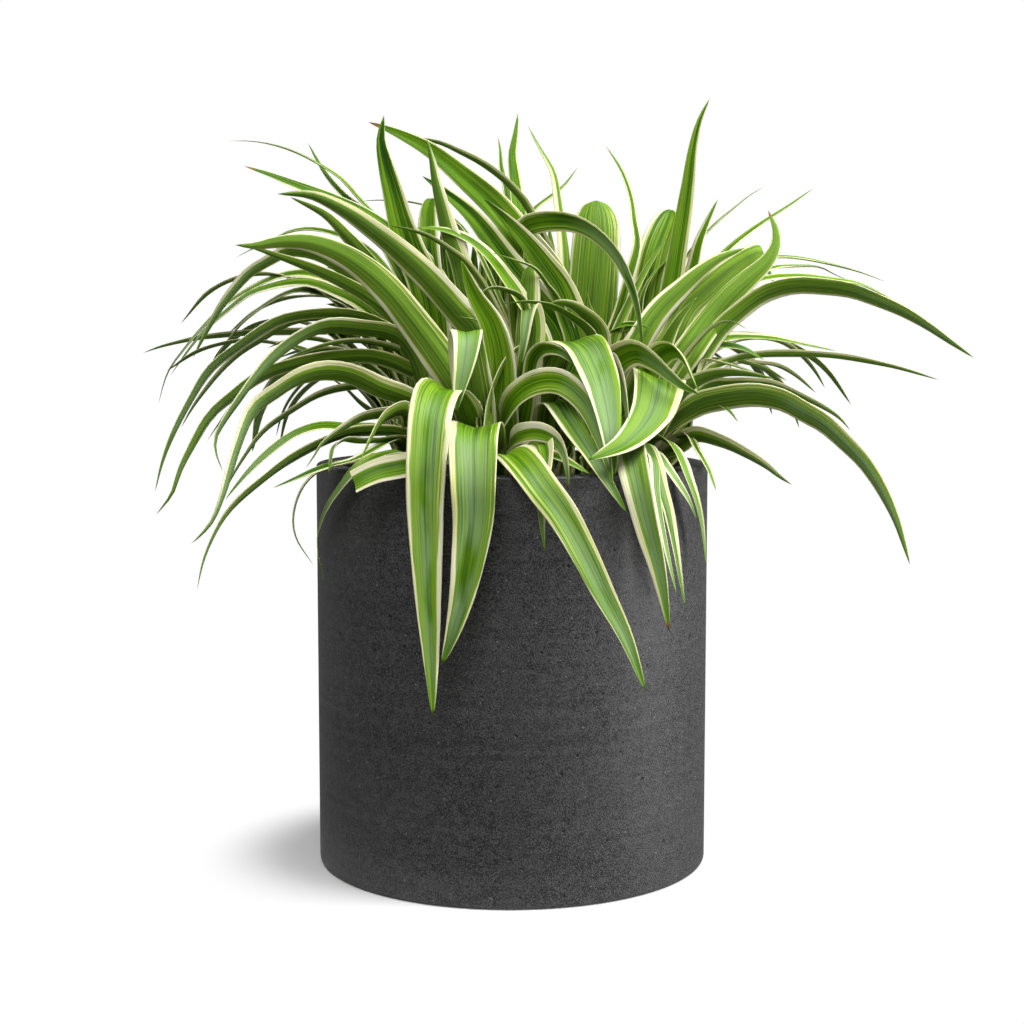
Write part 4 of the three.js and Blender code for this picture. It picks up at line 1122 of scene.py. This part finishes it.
def crumb_shape(size, material, seed):
    """Scatters crumbs over the soil and closes it underneath."""
    shape = Shape("soil crumbs", {
        "Crumb size": size.crumb_size,
        "Crumb density": size.crumb_count,
        "Soil depth": size.soil_top - size.pot_floor - GAP * MM,
        "Seed": seed,
        "Material": material,
    })
    top = shape.size("Geometry")
    seed_wire = shape.size("Seed")
    scatter = shape.node(
        "GeometryNodeDistributePointsOnFaces",
        {"distribute_method": "RANDOM"},
        {"Mesh": top, "Density": shape.size("Crumb density"), "Seed": seed_wire},
    )
    ball = shape.step("MeshIcoSphere", Radius=0.5, Subdivisions=CRUMB_FINENESS)
    turn = shape.drawn("FLOAT_VECTOR", (0, 0, 0), CRUMB_TURN, seed_wire)
    squash = shape.drawn("FLOAT_VECTOR", CRUMB_LEAST, CRUMB_MOST, seed_wire + 1)
    crumbs = shape.step(
        "InstanceOnPoints",
        Points=Wire(shape, scatter.outputs["Points"]),
        Instance=ball,
        Rotation=turn,
        Scale=shape.scaled(squash, shape.size("Crumb size")),
    )
    kind = shape.drawn("FLOAT", 0.0, 1.0, seed_wire + 2)
    crumbs = shape.out("GeometryNodeStoreNamedAttribute", {"data_type": "FLOAT", "domain": "INSTANCE"}, {
        "Geometry": crumbs, "Name": "bark", "Value": kind,
    })
    crumbs = shape.step("RealizeInstances", Geometry=crumbs)
    spot = shape.step("InputPosition")
    rough = (shape.noise(spot, CRUMB_GRAIN, 2.0, 0.6) - 0.5) * shape.size("Crumb size") * CRUMB_ROUGHNESS
    push = shape.scaled(shape.step("InputNormal"), rough)
    crumbs = shape.step("SetPosition", Geometry=crumbs, Offset=push)
    plug = shape.node("GeometryNodeExtrudeMesh", {"mode": "FACES"}, {
        "Mesh": top,
        "Offset": shape.vector_of(0.0, 0.0, -1.0),
        "Offset Scale": shape.size("Soil depth"),
        "Individual": False,
    })
    joined = shape.node("GeometryNodeJoinGeometry")
    for part in (top, Wire(shape, plug.outputs["Mesh"]), crumbs):
        shape.tree.links.new(part.socket, joined.inputs[0])
    welded = shape.step("MergeByDistance", Geometry=Wire(shape, joined.outputs[0]), Distance=WELD)
    shape.finish(welded, shape.size("Material"))
    return shape


# ---- finishes

LEAF_SHIFT = 61.7  # from one leaf's patch of noise to the next one's


def leaf_finish(look):
    """Green with cream margins, fine lengthwise veins, a pale foot, here and there a dry tip, and a
    painted sheen where the blades hang down.
    """
    skin = Finish("variegated leaf")
    across, along, seed, streaks = (
        skin.attribute(name) for name in ("across", "along", "seed", "streaks")
    )
    half, fall, pale = (skin.attribute(name) for name in ("half", "fall", "pale"))
    reach = abs(across)
    run = along * skin.attribute("length")
    rows = across * skin.attribute("veins")
    shift = seed * LEAF_SHIFT

    def grain(sideways, lengthwise, apart, detail=2.0, roughness=0.5):
        """Noise in a blade's own directions, with other numbers on each leaf."""
        spot = skin.vector_of(sideways + shift, run * lengthwise, seed * apart)
        return skin.noise(spot, detail=detail, roughness=roughness)

    veins = grain(rows, 9.0, LEAF_SHIFT, 3.0, 0.65)
    strips = grain(rows * 0.5, 6.0, 23.0)
    bands = grain(across * 2.0, 4.0, 11.0, 1.0)
    patches = grain(across, 32.0, 7.0)
    drift = grain(across * 0.7, 22.0, 31.0)

    # Veins fade where a blade is so narrow that they would be finer than can be seen.
    broad = skin.spread(half / skin.attribute("veins"), 0.0003, 0.0008, 0.0, 1.0)
    lined = (veins - 0.5) * broad + 0.5

    # A leaf's tone carries its tuft's painted shade; the random patches vary it.
    light = skin.attribute("tone") * 0.7 + (patches - 0.5) * 1.6 + 0.35
    under = skin.ease(skin.attribute("layer"), 0.05, -0.05)
    # Painted sheen: on the middle of the parts of a blade that hang down, a greyer green stands in for the
    # light that the leaf's gloss reflects.
    hang = skin.ease(fall, 0.1, 0.75) * skin.ease(along, 0.3, 0.5) * skin.ease(along, 1.0, 0.85)
    painted_sheen = hang * skin.ease(drift, 0.3, 0.5) * skin.ease(reach, 1.1, 0.3)
    pale_band = skin.ease(bands + streaks * 0.08, 0.53, 0.62) * skin.ease(reach, 0.08, 0.35)
    strip = skin.ease(strips + streaks * 0.06, 0.6, 0.68) * skin.ease(reach, 0.1, 0.5)
    pinstripe = skin.ease(lined + streaks * 0.06, 0.61, 0.67) * skin.ease(reach, 0.3, 0.75)
    green = skin.layered(
        skin.blend(skin.ease(light, 0.2, 0.95), look.deep_green, look.bright_green),
        (under, 0.6, look.underside),
        (painted_sheen, 0.8, look.painted_sheen),
        (pale_band, 0.5, look.lime),
        (strip, 0.55, look.lime),
        (skin.ease(lined, 0.5, 0.62), 0.6, look.lime),
        (skin.ease(lined, 0.5, 0.34), 0.6, look.shade_green),
        (pinstripe, 0.75, look.cream),
        (skin.ease(reach, 0.07, 0.0), 0.35, look.shade_green),
    )

    lopsided = skin.spread(across, -0.1, 0.1, -1.0, 1.0) * skin.attribute("bias") + 1.0
    wander = (drift - 0.5) * 0.45 + (lined - 0.5) * 0.35
    edge = 1.0 - skin.attribute("cream") * lopsided + wander
    sturdy = skin.spread(half, 0.0008, 0.003, 0.1, 1.0)
    inside = skin.ease(reach - edge, -0.2, 0.0) * sturdy
    margin = skin.ease(reach - edge, -0.02, 0.04) * sturdy
    cream = skin.blend(skin.ease(lined + patches * 0.3, 0.5, 0.8), look.cream, look.ivory)
    cream = skin.layered(cream, (skin.ease(lined, 0.42, 0.32), 0.5, look.lime))
    foot = skin.blend(skin.ease(reach, 0.2, 0.9), look.foot, look.cream)
    dry = skin.ease(along + skin.attribute("dry") + (veins - 0.5) * 0.02, 0.996, 1.004)
    colour = skin.layered(
        green,
        (inside, 0.35, look.lime),
        (margin, 1.0, cream),
        (pale, 0.85, foot),
        (dry, 1.0, look.dry),
    )

    roughness = skin.spread(veins, 0.3, 0.7, 0.5, 0.42) + under * 0.12 + dry * 0.3
    return skin.close(
        colour,
        roughness,
        relief=(veins + strips * 0.5) * half * 100.0,
        relief_depth=0.0003,
        subsurface_weight=look.glow,
        subsurface_scale=0.002,
        subsurface_radius=(0.75, 1.0, 0.25),
        specular_ior_level=0.13,
    )


def pot_finish(look):
    """Dark unglazed clay: fine grain, small open pits, a few pale grits and faint turning marks."""
    clay = Finish("dark cast clay")
    spot = clay.place()
    grain = clay.noise(spot, 1500.0, 2.0, 0.7)
    wear = clay.noise(spot, 260.0, 3.0, 0.6)
    cloud = clay.noise(spot, 16.0, 3.0, 0.55)
    turning = clay.noise(clay.vector("MULTIPLY", spot, (6.0, 6.0, 420.0)), 1.0, 2.0, 0.5)
    pits = clay.ease(clay.cells(spot, look.pit_density), 0.085, 0.055)
    small = clay.ease(clay.cells(clay.vector("ADD", spot, (0.31, 0.17, 0.05)), 190.0), 0.11, 0.06)
    grit = clay.ease(clay.cells(clay.vector("ADD", spot, (0.07, 0.41, 0.23)), 150.0), 0.08, 0.05)
    mottle = grain * 0.75 + wear * 0.17 + turning * 0.08
    shade = clay.layered(
        clay.blend(clay.ease(mottle, 0.43, 0.585), look.clay_dark, look.clay_light),
        (clay.ease(cloud, 0.35, 0.7), 0.2, look.clay_light),
        (grit, 0.6, look.grit),
        (small, 0.6, look.pit),
        (pits, 0.95, look.pit),
    )
    height = grain * 0.6 + wear * 0.3 - pits * 3.0 - small * 0.8
    roughness = clay.spread(grain, 0.3, 0.7, 0.42, 0.6)
    return clay.close(shade, roughness, relief=height, relief_depth=0.00035, specular_ior_level=0.5)


def soil_finish(look):
    """Dark potting soil whose crumbs differ in colour."""
    earth = Finish("potting soil")
    spot = earth.place()
    crumb = earth.noise(spot, 260.0, 4.0, 0.65)
    clump = earth.noise(spot, 60.0, 2.0, 0.5)
    shade = earth.blend(earth.ease(crumb, 0.35, 0.65), look.dark, look.brown)
    shade = earth.blend(earth.ease(clump + earth.attribute("bark") * 0.5, 0.75, 1.0), shade, look.bark)
    return earth.close(shade, 0.92, relief=crumb, relief_depth=0.0008)


# ---- settings


def plain(name, description, default):
    return FloatProperty(name=name, description=description, default=default)


def metres(name, description, default):
    return FloatProperty(name=name, description=description, unit="LENGTH", default=default)


def tinted(name, description, *seen):
    """A colour given as it is seen, 0 to 255."""
    return FloatVectorProperty(name=name, description=description, subtype="COLOR", default=tint(*seen))


class PLANT_PG_sizes(bpy.types.PropertyGroup):
    """Sizes of the planter and its soil. The planter's outer ones come from the frame's own box."""

    pot_radius: metres("Pot radius", "Outer radius of the planter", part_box("pot")[1].x)
    pot_height: metres("Pot height", "Height of the planter's rim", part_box("pot")[1].z)
    pot_wall: metres("Wall", "Thickness of the planter's wall", 0.0125)
    pot_floor: metres("Floor", "Thickness of the planter's floor", 0.014)
    rim_edge: metres("Rim edge", "Rounding of the rim's edges", 0.0016)
    foot_edge: metres("Foot edge", "Rounding of the edge at the foot", 0.0025)
    soil_top: metres("Soil level", "Height of the soil at the wall", 0.183)
    soil_dome: metres("Soil dome", "How much higher the soil stands at the middle", 0.003)
    crumb_size: metres("Crumb size", "Mean width of a crumb of soil", 0.0032)
    crumb_count: plain("Crumb density", "Crumbs on a square metre of soil", 52000)


class PLANT_PG_leaf(bpy.types.PropertyGroup):
    """The leaves' section and colours."""

    thickness: metres("Thickness", "Thickness of a blade", 0.0009)
    points_across: IntProperty(name="Points across", description="Points round a section", default=20)
    crease: plain("Crease", "Roundness of the fold at the midrib", 0.12)
    curl: plain("Margin curl", "How far the margins curl down", 0.05)
    waves: plain("Waves", "Margin waves in a metre of leaf", 26.0)
    closing: metres("Closing distance", "Points closer than this become one", 0.00003)
    glow: plain("Glow", "Share of light that passes into a blade", 0.08)
    deep_green: tinted("Deep green", "The darker green", 30, 68, 4)
    bright_green: tinted("Bright green", "The lighter green", 82, 124, 8)
    shade_green: tinted("Shade green", "Dark lines between the veins", 20, 56, 3)
    lime: tinted("Lime", "Veins and the band inside the margin", 120, 154, 34)
    # Painted sheen: the greyer green laid on hanging parts in place of the light that their gloss
    # reflects.
    painted_sheen: tinted("Painted sheen", "The greyer green of the hanging part", 124, 152, 100)
    cream: tinted("Cream", "The margins", 192, 190, 126)
    ivory: tinted("Ivory", "The palest part of the margins", 220, 218, 194)
    foot: tinted("Foot", "The pale base of a leaf", 120, 144, 52)
    underside: tinted("Underside", "The duller lower face", 104, 134, 52)
    dry: tinted("Dry tip", "A dried tip", 128, 92, 52)


class PLANT_PG_pot(bpy.types.PropertyGroup):
    """The planter's finish."""

    pit_density: plain("Pit scale", "Pits along a metre", 82.0)
    clay_dark: tinted("Dark clay", "The darker grain", 1, 1, 1)
    clay_light: tinted("Light clay", "The lighter grain", 72, 72, 72)
    grit: tinted("Grit", "Pale grits", 128, 128, 126)
    pit: tinted("Pit", "Inside of the pits", 6, 6, 6)


class PLANT_PG_soil(bpy.types.PropertyGroup):
    """The soil's colours."""

    dark: tinted("Dark", "The darkest crumbs", 30, 24, 19)
    brown: tinted("Brown", "The common crumbs", 62, 48, 36)
    bark: tinted("Bark", "Bits of bark", 104, 74, 48)


class PLANT_PG_stage(bpy.types.PropertyGroup):
    """Floor, light and camera."""

    floor_radius: metres("Floor radius", "Radius of the round floor", 6.0)
    floor_colour: FloatVectorProperty(
        name="Floor", description="Colour of the floor", subtype="COLOR", default=(0.74, 0.74, 0.74),
    )
    shadow_offset: FloatVectorProperty(
        name="Shadow offset", description="From the middle of the soft shadow to the plant's",
        unit="LENGTH", default=(0.025, 0.0, 0.0),
    )
    surround: plain("Surround", "How white the surround looks", 1.0)
    even_light: plain("Even light", "Light from all sides", 0.27)
    key_power: plain("Key light", "Watts of the large soft light", 50.0)
    front_power: plain("Front light", "Watts of the soft light from the front", 19.0)
    side_power: plain("Side light", "Watts of the soft side light", 20.0)
    lens: plain("Lens", "Focal length in mm", EYE_LENS)


class PLANT_PG_all(bpy.types.PropertyGroup):
    """Everything that can be set about the plant."""

    sizes: PointerProperty(type=PLANT_PG_sizes)
    leaf: PointerProperty(type=PLANT_PG_leaf)
    pot: PointerProperty(type=PLANT_PG_pot)
    soil: PointerProperty(type=PLANT_PG_soil)
    stage: PointerProperty(type=PLANT_PG_stage)


def settings():
    return bpy.context.scene.spider_plant


def sizes():
    return settings().sizes


# ---- operators


class PLANT_OT_pot(bpy.types.Operator):
    """Adds the dark cylinder planter"""

    bl_idname = "plant.pot"
    bl_label = "Add planter"

    FLOOR_RINGS = 4
    OUTER_RINGS = 12
    INNER_RINGS = 8

    def execute(self, context):
        size = sizes()
        radius, height = size.pot_radius / MM, size.pot_height / MM
        inner = radius - size.pot_wall / MM
        rim, foot, floor = size.rim_edge / MM, size.foot_edge / MM, size.pot_floor / MM
        profile = [(0, 0)]
        profile += [((radius - foot) * k / self.FLOOR_RINGS, 0) for k in range(1, self.FLOOR_RINGS)]
        profile += arc(radius - foot, foot, foot, -90, 0)
        for k in range(1, self.OUTER_RINGS):
            profile.append((radius, mix(foot, height - rim, k / self.OUTER_RINGS)))
        profile += arc(radius - rim, height - rim, rim, 0, 90)
        profile += arc(inner + rim, height - rim, rim, 90, 180)
        for k in range(1, self.INNER_RINGS + 1):
            profile.append((inner, mix(height - rim, floor, k / self.INNER_RINGS)))
        profile += [(inner * k / self.FLOOR_RINGS, floor) for k in range(self.FLOOR_RINGS - 1, 0, -1)]
        profile += [(0, floor)]
        points, faces = turned(profile, POT_SIDES)
        settle(solid("planter", points, faces, pot_finish(settings().pot)), "pot", "pot")
        return {"FINISHED"}


class PLANT_OT_soil(bpy.types.Operator):
    """Adds the potting soil with its crumbs"""

    bl_idname = "plant.soil"
    bl_label = "Add potting soil"

    SIDES = 120
    RINGS = 36
    SEED = 5
    SWELL = 0.5  # mm, of the long waves
    LUMPS = 0.35  # mm, of the finer lumps
    SUNK = 0.5  # mm, of the whole surface

    def height(self, x, y):
        """The solids' dome and long waves, with finer lumps on top."""
        size = sizes()
        radius = (size.pot_radius - size.pot_wall) / MM
        dome = size.soil_dome / MM * (1 - (math.hypot(x, y) / radius) ** 2)
        waves = math.sin(x * 0.31 + 1.3) * math.cos(y * 0.27) + math.sin((x + y) * 0.17)
        lumps = math.sin(x * 0.83) * math.sin(y * 0.77 + 0.6) + math.sin((x - 2 * y) * 0.52)
        return soil_top() + dome + self.SWELL * waves + self.LUMPS * lumps - self.SUNK

    def execute(self, context):
        size = sizes()
        radius = (size.pot_radius - size.pot_wall) / MM - GAP
        points = [(0, 0, self.height(0, 0))]
        faces = []
        for k in range(1, self.RINGS + 1):
            for i in range(self.SIDES):
                angle = 2 * math.pi * i / self.SIDES
                x = radius * k / self.RINGS * math.cos(angle)
                y = radius * k / self.RINGS * math.sin(angle)
                points.append((x, y, self.height(x, y)))
        for i in range(self.SIDES):
            j = (i + 1) % self.SIDES
            faces.append((0, 1 + i, 1 + j))
            for k in range(self.RINGS - 1):
                near = 1 + k * self.SIDES
                far = near + self.SIDES
                faces.append((near + i, far + i, far + j, near + j))
        material = soil_finish(settings().soil)
        top = solid("soil_top", points, faces, material)
        shape = crumb_shape(size, material, self.SEED)
        piece = shape.grow("soil", top.data)
        bpy.data.objects.remove(top)
        settle(piece, "soil", "soil")
        return {"FINISHED"}


class PLANT_OT_leaves(bpy.types.Operator):
    """Adds the seven tufts of leaves"""

    bl_idname = "plant.leaves"
    bl_label = "Add leaf tufts"

    def execute(self, context):
        look = settings().leaf
        material = leaf_finish(look)
        shape = blade_shape(look, material)
        for number, tuft in enumerate(TUFTS):
            draw = random.Random(INNER_SEED + number)
            leaves = [traced_leaf(tuft, row, draw) for row in TRACED[tuft]]
            leaves += arched_leaves(tuft, draw)
            leaves += inner_leaves(tuft, draw)
            leaves += sheaths(tuft, draw)
            piece = shape.grow(f"leaves_{tuft}", routes_mesh(tuft, leaves))
            settle(piece, "leaf", f"crown_{tuft}")
        return {"FINISHED"}


class PLANT_OT_stage(bpy.types.Operator):
    """Adds the pale floor, the white surround, the soft lights and the camera"""

    bl_idname = "plant.stage"
    bl_label = "Add stage"

    FLOOR_SIDES = 96
    SHADOW_FADE = (0.085, 0.14)  # metres from the middle of the soft shadow
    # Each lamp's name, position, the point it faces, its size and the setting that holds its power.
    LAMPS = (
        ("key light", (0.8, -0.4, 1.75), (0, 0, 0.2), (1.2, 1.2), "key_power"),
        ("front light", (-0.35, -1.1, 1.5), (0, 0, 0.2), (0.9, 0.9), "front_power"),
        ("side light", (1.3, -0.2, 0.4), (0, 0, 0.15), (0.45, 1.2), "side_power"),
    )

    def brightness(self, graph, look):
        """White to the eye, and a dimmer even light on the plant."""
        seen = graph.out("ShaderNodeLightPath", None, None, "Is Camera Ray")
        return graph.spread(seen, 0.0, 1.0, look.even_light, look.surround)

    def floor(self, look):
        """A wide round floor that turns into the white surround a little way from the pot's foot."""
        points, faces = turned([(0, 0), (look.floor_radius / MM, 0), (0, -1)], self.FLOOR_SIDES)
        faces = [tuple(reversed(face)) for face in faces]
        ground = Finish("studio floor")
        beside = ground.vector("ADD", ground.place(), look.shadow_offset)
        spread = ground.out("ShaderNodeVectorMath", {"operation": "LENGTH"}, {0: beside}, "Value")
        pale = ground.node("ShaderNodeBsdfDiffuse", None, {"Color": (*look.floor_colour, 1)})
        white = ground.node("ShaderNodeEmission", None, {"Strength": self.brightness(ground, look)})
        both = ground.node("ShaderNodeMixShader", None, {0: ground.ease(spread, *self.SHADOW_FADE)})
        ground.tree.links.new(pale.outputs[0], both.inputs[1])
        ground.tree.links.new(white.outputs[0], both.inputs[2])
        output = ground.node("ShaderNodeOutputMaterial")
        ground.tree.links.new(both.outputs[0], output.inputs["Surface"])
        solid("stage_floor", points, faces, ground.material)

    def surround(self, look):
        """The white surround."""
        world = bpy.data.worlds.new("white surround")
        world.use_nodes = True
        sky = Graph(world.node_tree)
        background = world.node_tree.nodes["Background"]
        background.inputs["Color"].default_value = (1, 1, 1, 1)
        sky.tree.links.new(self.brightness(sky, look).socket, background.inputs["Strength"])
        bpy.context.scene.world = world

    def lamp(self, name, position, aim, size, power):
        """A soft rectangular light that faces a point."""
        light = bpy.data.lights.new(name, "AREA")
        light.shape = "RECTANGLE"
        light.size, light.size_y = size
        light.energy = power
        lamp = bpy.data.objects.new(name, light)
        lamp.location = position
        lamp.rotation_euler = (Vector(aim) - Vector(position)).to_track_quat("-Z", "Y").to_euler()
        bpy.context.scene.collection.objects.link(lamp)

    def camera(self, look):
        """The eye that the leaves' routes were read from."""
        camera = bpy.data.cameras.new("front camera")
        camera.lens = look.lens
        camera.clip_start = 0.01
        eye = bpy.data.objects.new("front camera", camera)
        eye.location = EYE * MM
        eye.rotation_euler = (math.pi / 2 - EYE_PITCH, 0, 0)
        bpy.context.scene.collection.objects.link(eye)
        bpy.context.scene.camera = eye

    def execute(self, context):
        look = settings().stage
        self.floor(look)
        self.surround(look)
        for name, position, aim, size, power in self.LAMPS:
            self.lamp(name, position, aim, size, getattr(look, power))
        self.camera(look)
        bpy.context.scene.view_settings.view_transform = "Standard"
        return {"FINISHED"}


class PLANT_PT_panel(bpy.types.Panel):
    """Lists the pieces of the plant and their settings"""

    bl_idname = "PLANT_PT_panel"
    bl_label = "Spider plant"
    bl_space_type = "VIEW_3D"
    bl_region_type = "UI"
    bl_category = "Spider plant"

    def draw(self, context):
        for operator in OPERATORS:
            self.layout.operator(operator.bl_idname)
        for name in ("sizes", "leaf", "pot", "soil", "stage"):
            group = getattr(settings(), name)
            box = self.layout.box()
            for key in group.__annotations__:
                box.prop(group, key)


OPERATORS = (PLANT_OT_stage, PLANT_OT_pot, PLANT_OT_soil, PLANT_OT_leaves)
CLASSES = (
    PLANT_PG_sizes,
    PLANT_PG_leaf,
    PLANT_PG_pot,
    PLANT_PG_soil,
    PLANT_PG_stage,
    PLANT_PG_all,
    *OPERATORS,
    PLANT_PT_panel,
)


def register():
    for one in CLASSES:
        bpy.utils.register_class(one)
    bpy.types.Scene.spider_plant = PointerProperty(type=PLANT_PG_all)


def unregister():
    del bpy.types.Scene.spider_plant
    for one in reversed(CLASSES):
        bpy.utils.unregister_class(one)


def main():
    register()
    bpy.ops.plant.stage()
    bpy.ops.plant.pot()
    bpy.ops.plant.soil()
    bpy.ops.plant.leaves()


if __name__ == "__main__":
    main()
